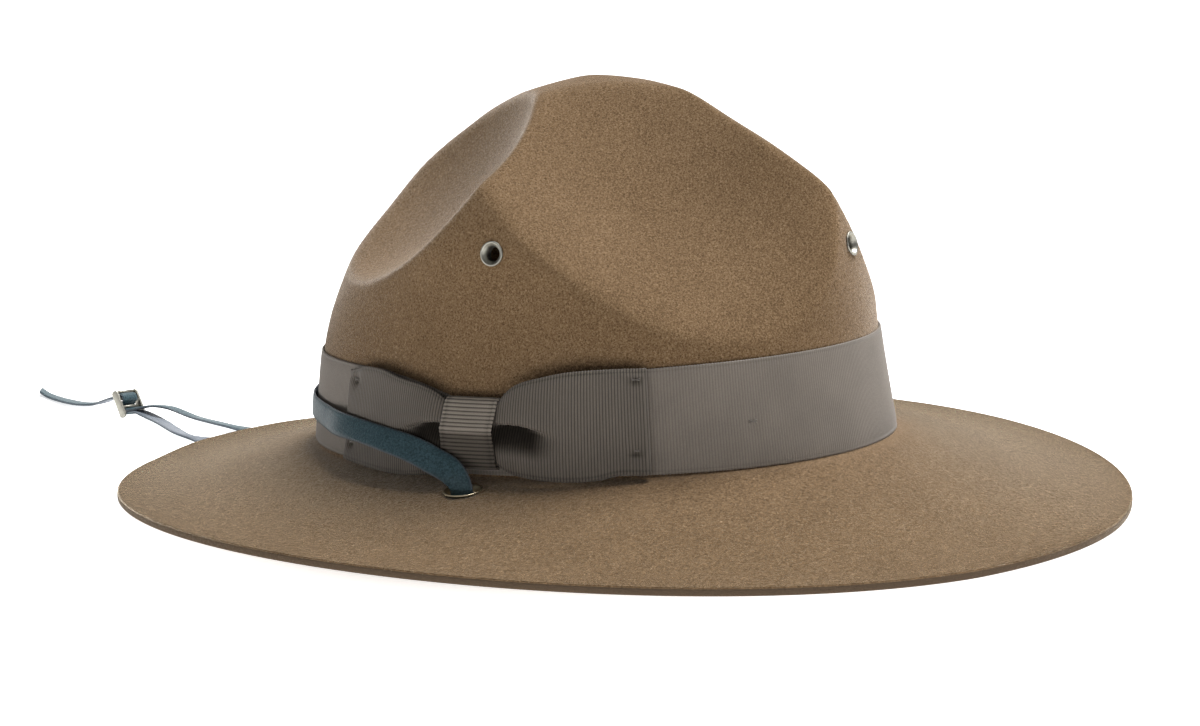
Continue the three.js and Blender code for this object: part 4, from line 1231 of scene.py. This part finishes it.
def build_tacks():
    """Small crossed stitches at the ends of the bow and on the band's lap."""
    work = bmesh.new()
    places = [(*tack, REAR_TACK_LIFT) for tack in REAR_TACKS]
    places += [(*tack, FRONT_TACK_LIFT) for tack in FRONT_TACKS]
    places += [(*BAND_TACK, BAND_TACK_LIFT)]
    along = np.linspace(-1, 1, 9)
    arch = STITCH_ARCH * (1 - along ** 2) - STITCH_SINK
    for azimuth, level, lift in places:
        for slant in (-STITCH_SLANT, STITCH_SLANT):
            thread(work, wall(azimuth + STITCH_HALF * along, level + slant * along, lift + arch))
    tacks = finish_mesh("tack_stitches", work)
    tacks.data.materials.append(THREAD_PAINT)
    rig.slot(tacks, "ribbon")


build_tacks()

# ---- Floor and light ----
FLOOR_HALF, FLOOR_DROP = 12, 0.0002  # in metres
WORLD_STRENGTH = 0.19
# A sun's place as shares of right, towards the camera and up, its angle and its strength.
SUNS = (
    ("key", (0.36, -0.3, 0.95), 32, 6.3),
    ("rim", (-0.1, -0.92, 0.3), 40, 0.8),
)


def add_sun(name, direction, angle, strength):
    light = bpy.data.lights.new(name, "SUN")
    light.energy, light.angle = strength, math.radians(angle)
    lamp = bpy.data.objects.new(name, light)
    bpy.context.scene.collection.objects.link(lamp)
    lamp.location = direction
    lamp.rotation_euler = direction.to_track_quat("Z", "Y").to_euler()


def add_floor():
    work = bmesh.new()
    bmesh.ops.create_grid(work, x_segments=1, y_segments=1, size=FLOOR_HALF)
    mesh = bpy.data.meshes.new("floor")
    work.to_mesh(mesh)
    work.free()
    floor = bpy.data.objects.new("floor", mesh)
    bpy.context.scene.collection.objects.link(floor)
    floor.location.z = -FLOOR_DROP
    floor.data.materials.append(floor_material())
    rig.stage(floor)


def add_lights():
    world = bpy.data.worlds.new("studio")
    world.use_nodes = True
    background = world.node_tree.nodes["Background"]
    background.inputs["Color"].default_value = (1, 1, 1, 1)
    background.inputs["Strength"].default_value = WORLD_STRENGTH
    bpy.context.scene.world = world
    azimuth = math.radians(CAMERA_AZIMUTH)
    right = Vector((math.cos(azimuth), math.sin(azimuth), 0))
    toward = Vector((math.sin(azimuth), -math.cos(azimuth), 0))
    up = Vector((0, 0, 1))
    for name, (rightward, nearer, upward), angle, strength in SUNS:
        add_sun(name, right * rightward + toward * nearer + up * upward, angle, strength)
    bpy.context.scene.view_settings.view_transform = "Standard"


add_floor()
add_lights()

with open("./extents.json", "w") as size_file:
    json.dump({"cad": [list(corner) for corner in cad_box], "visual": [list(corner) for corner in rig.bounds()]},
              size_file)
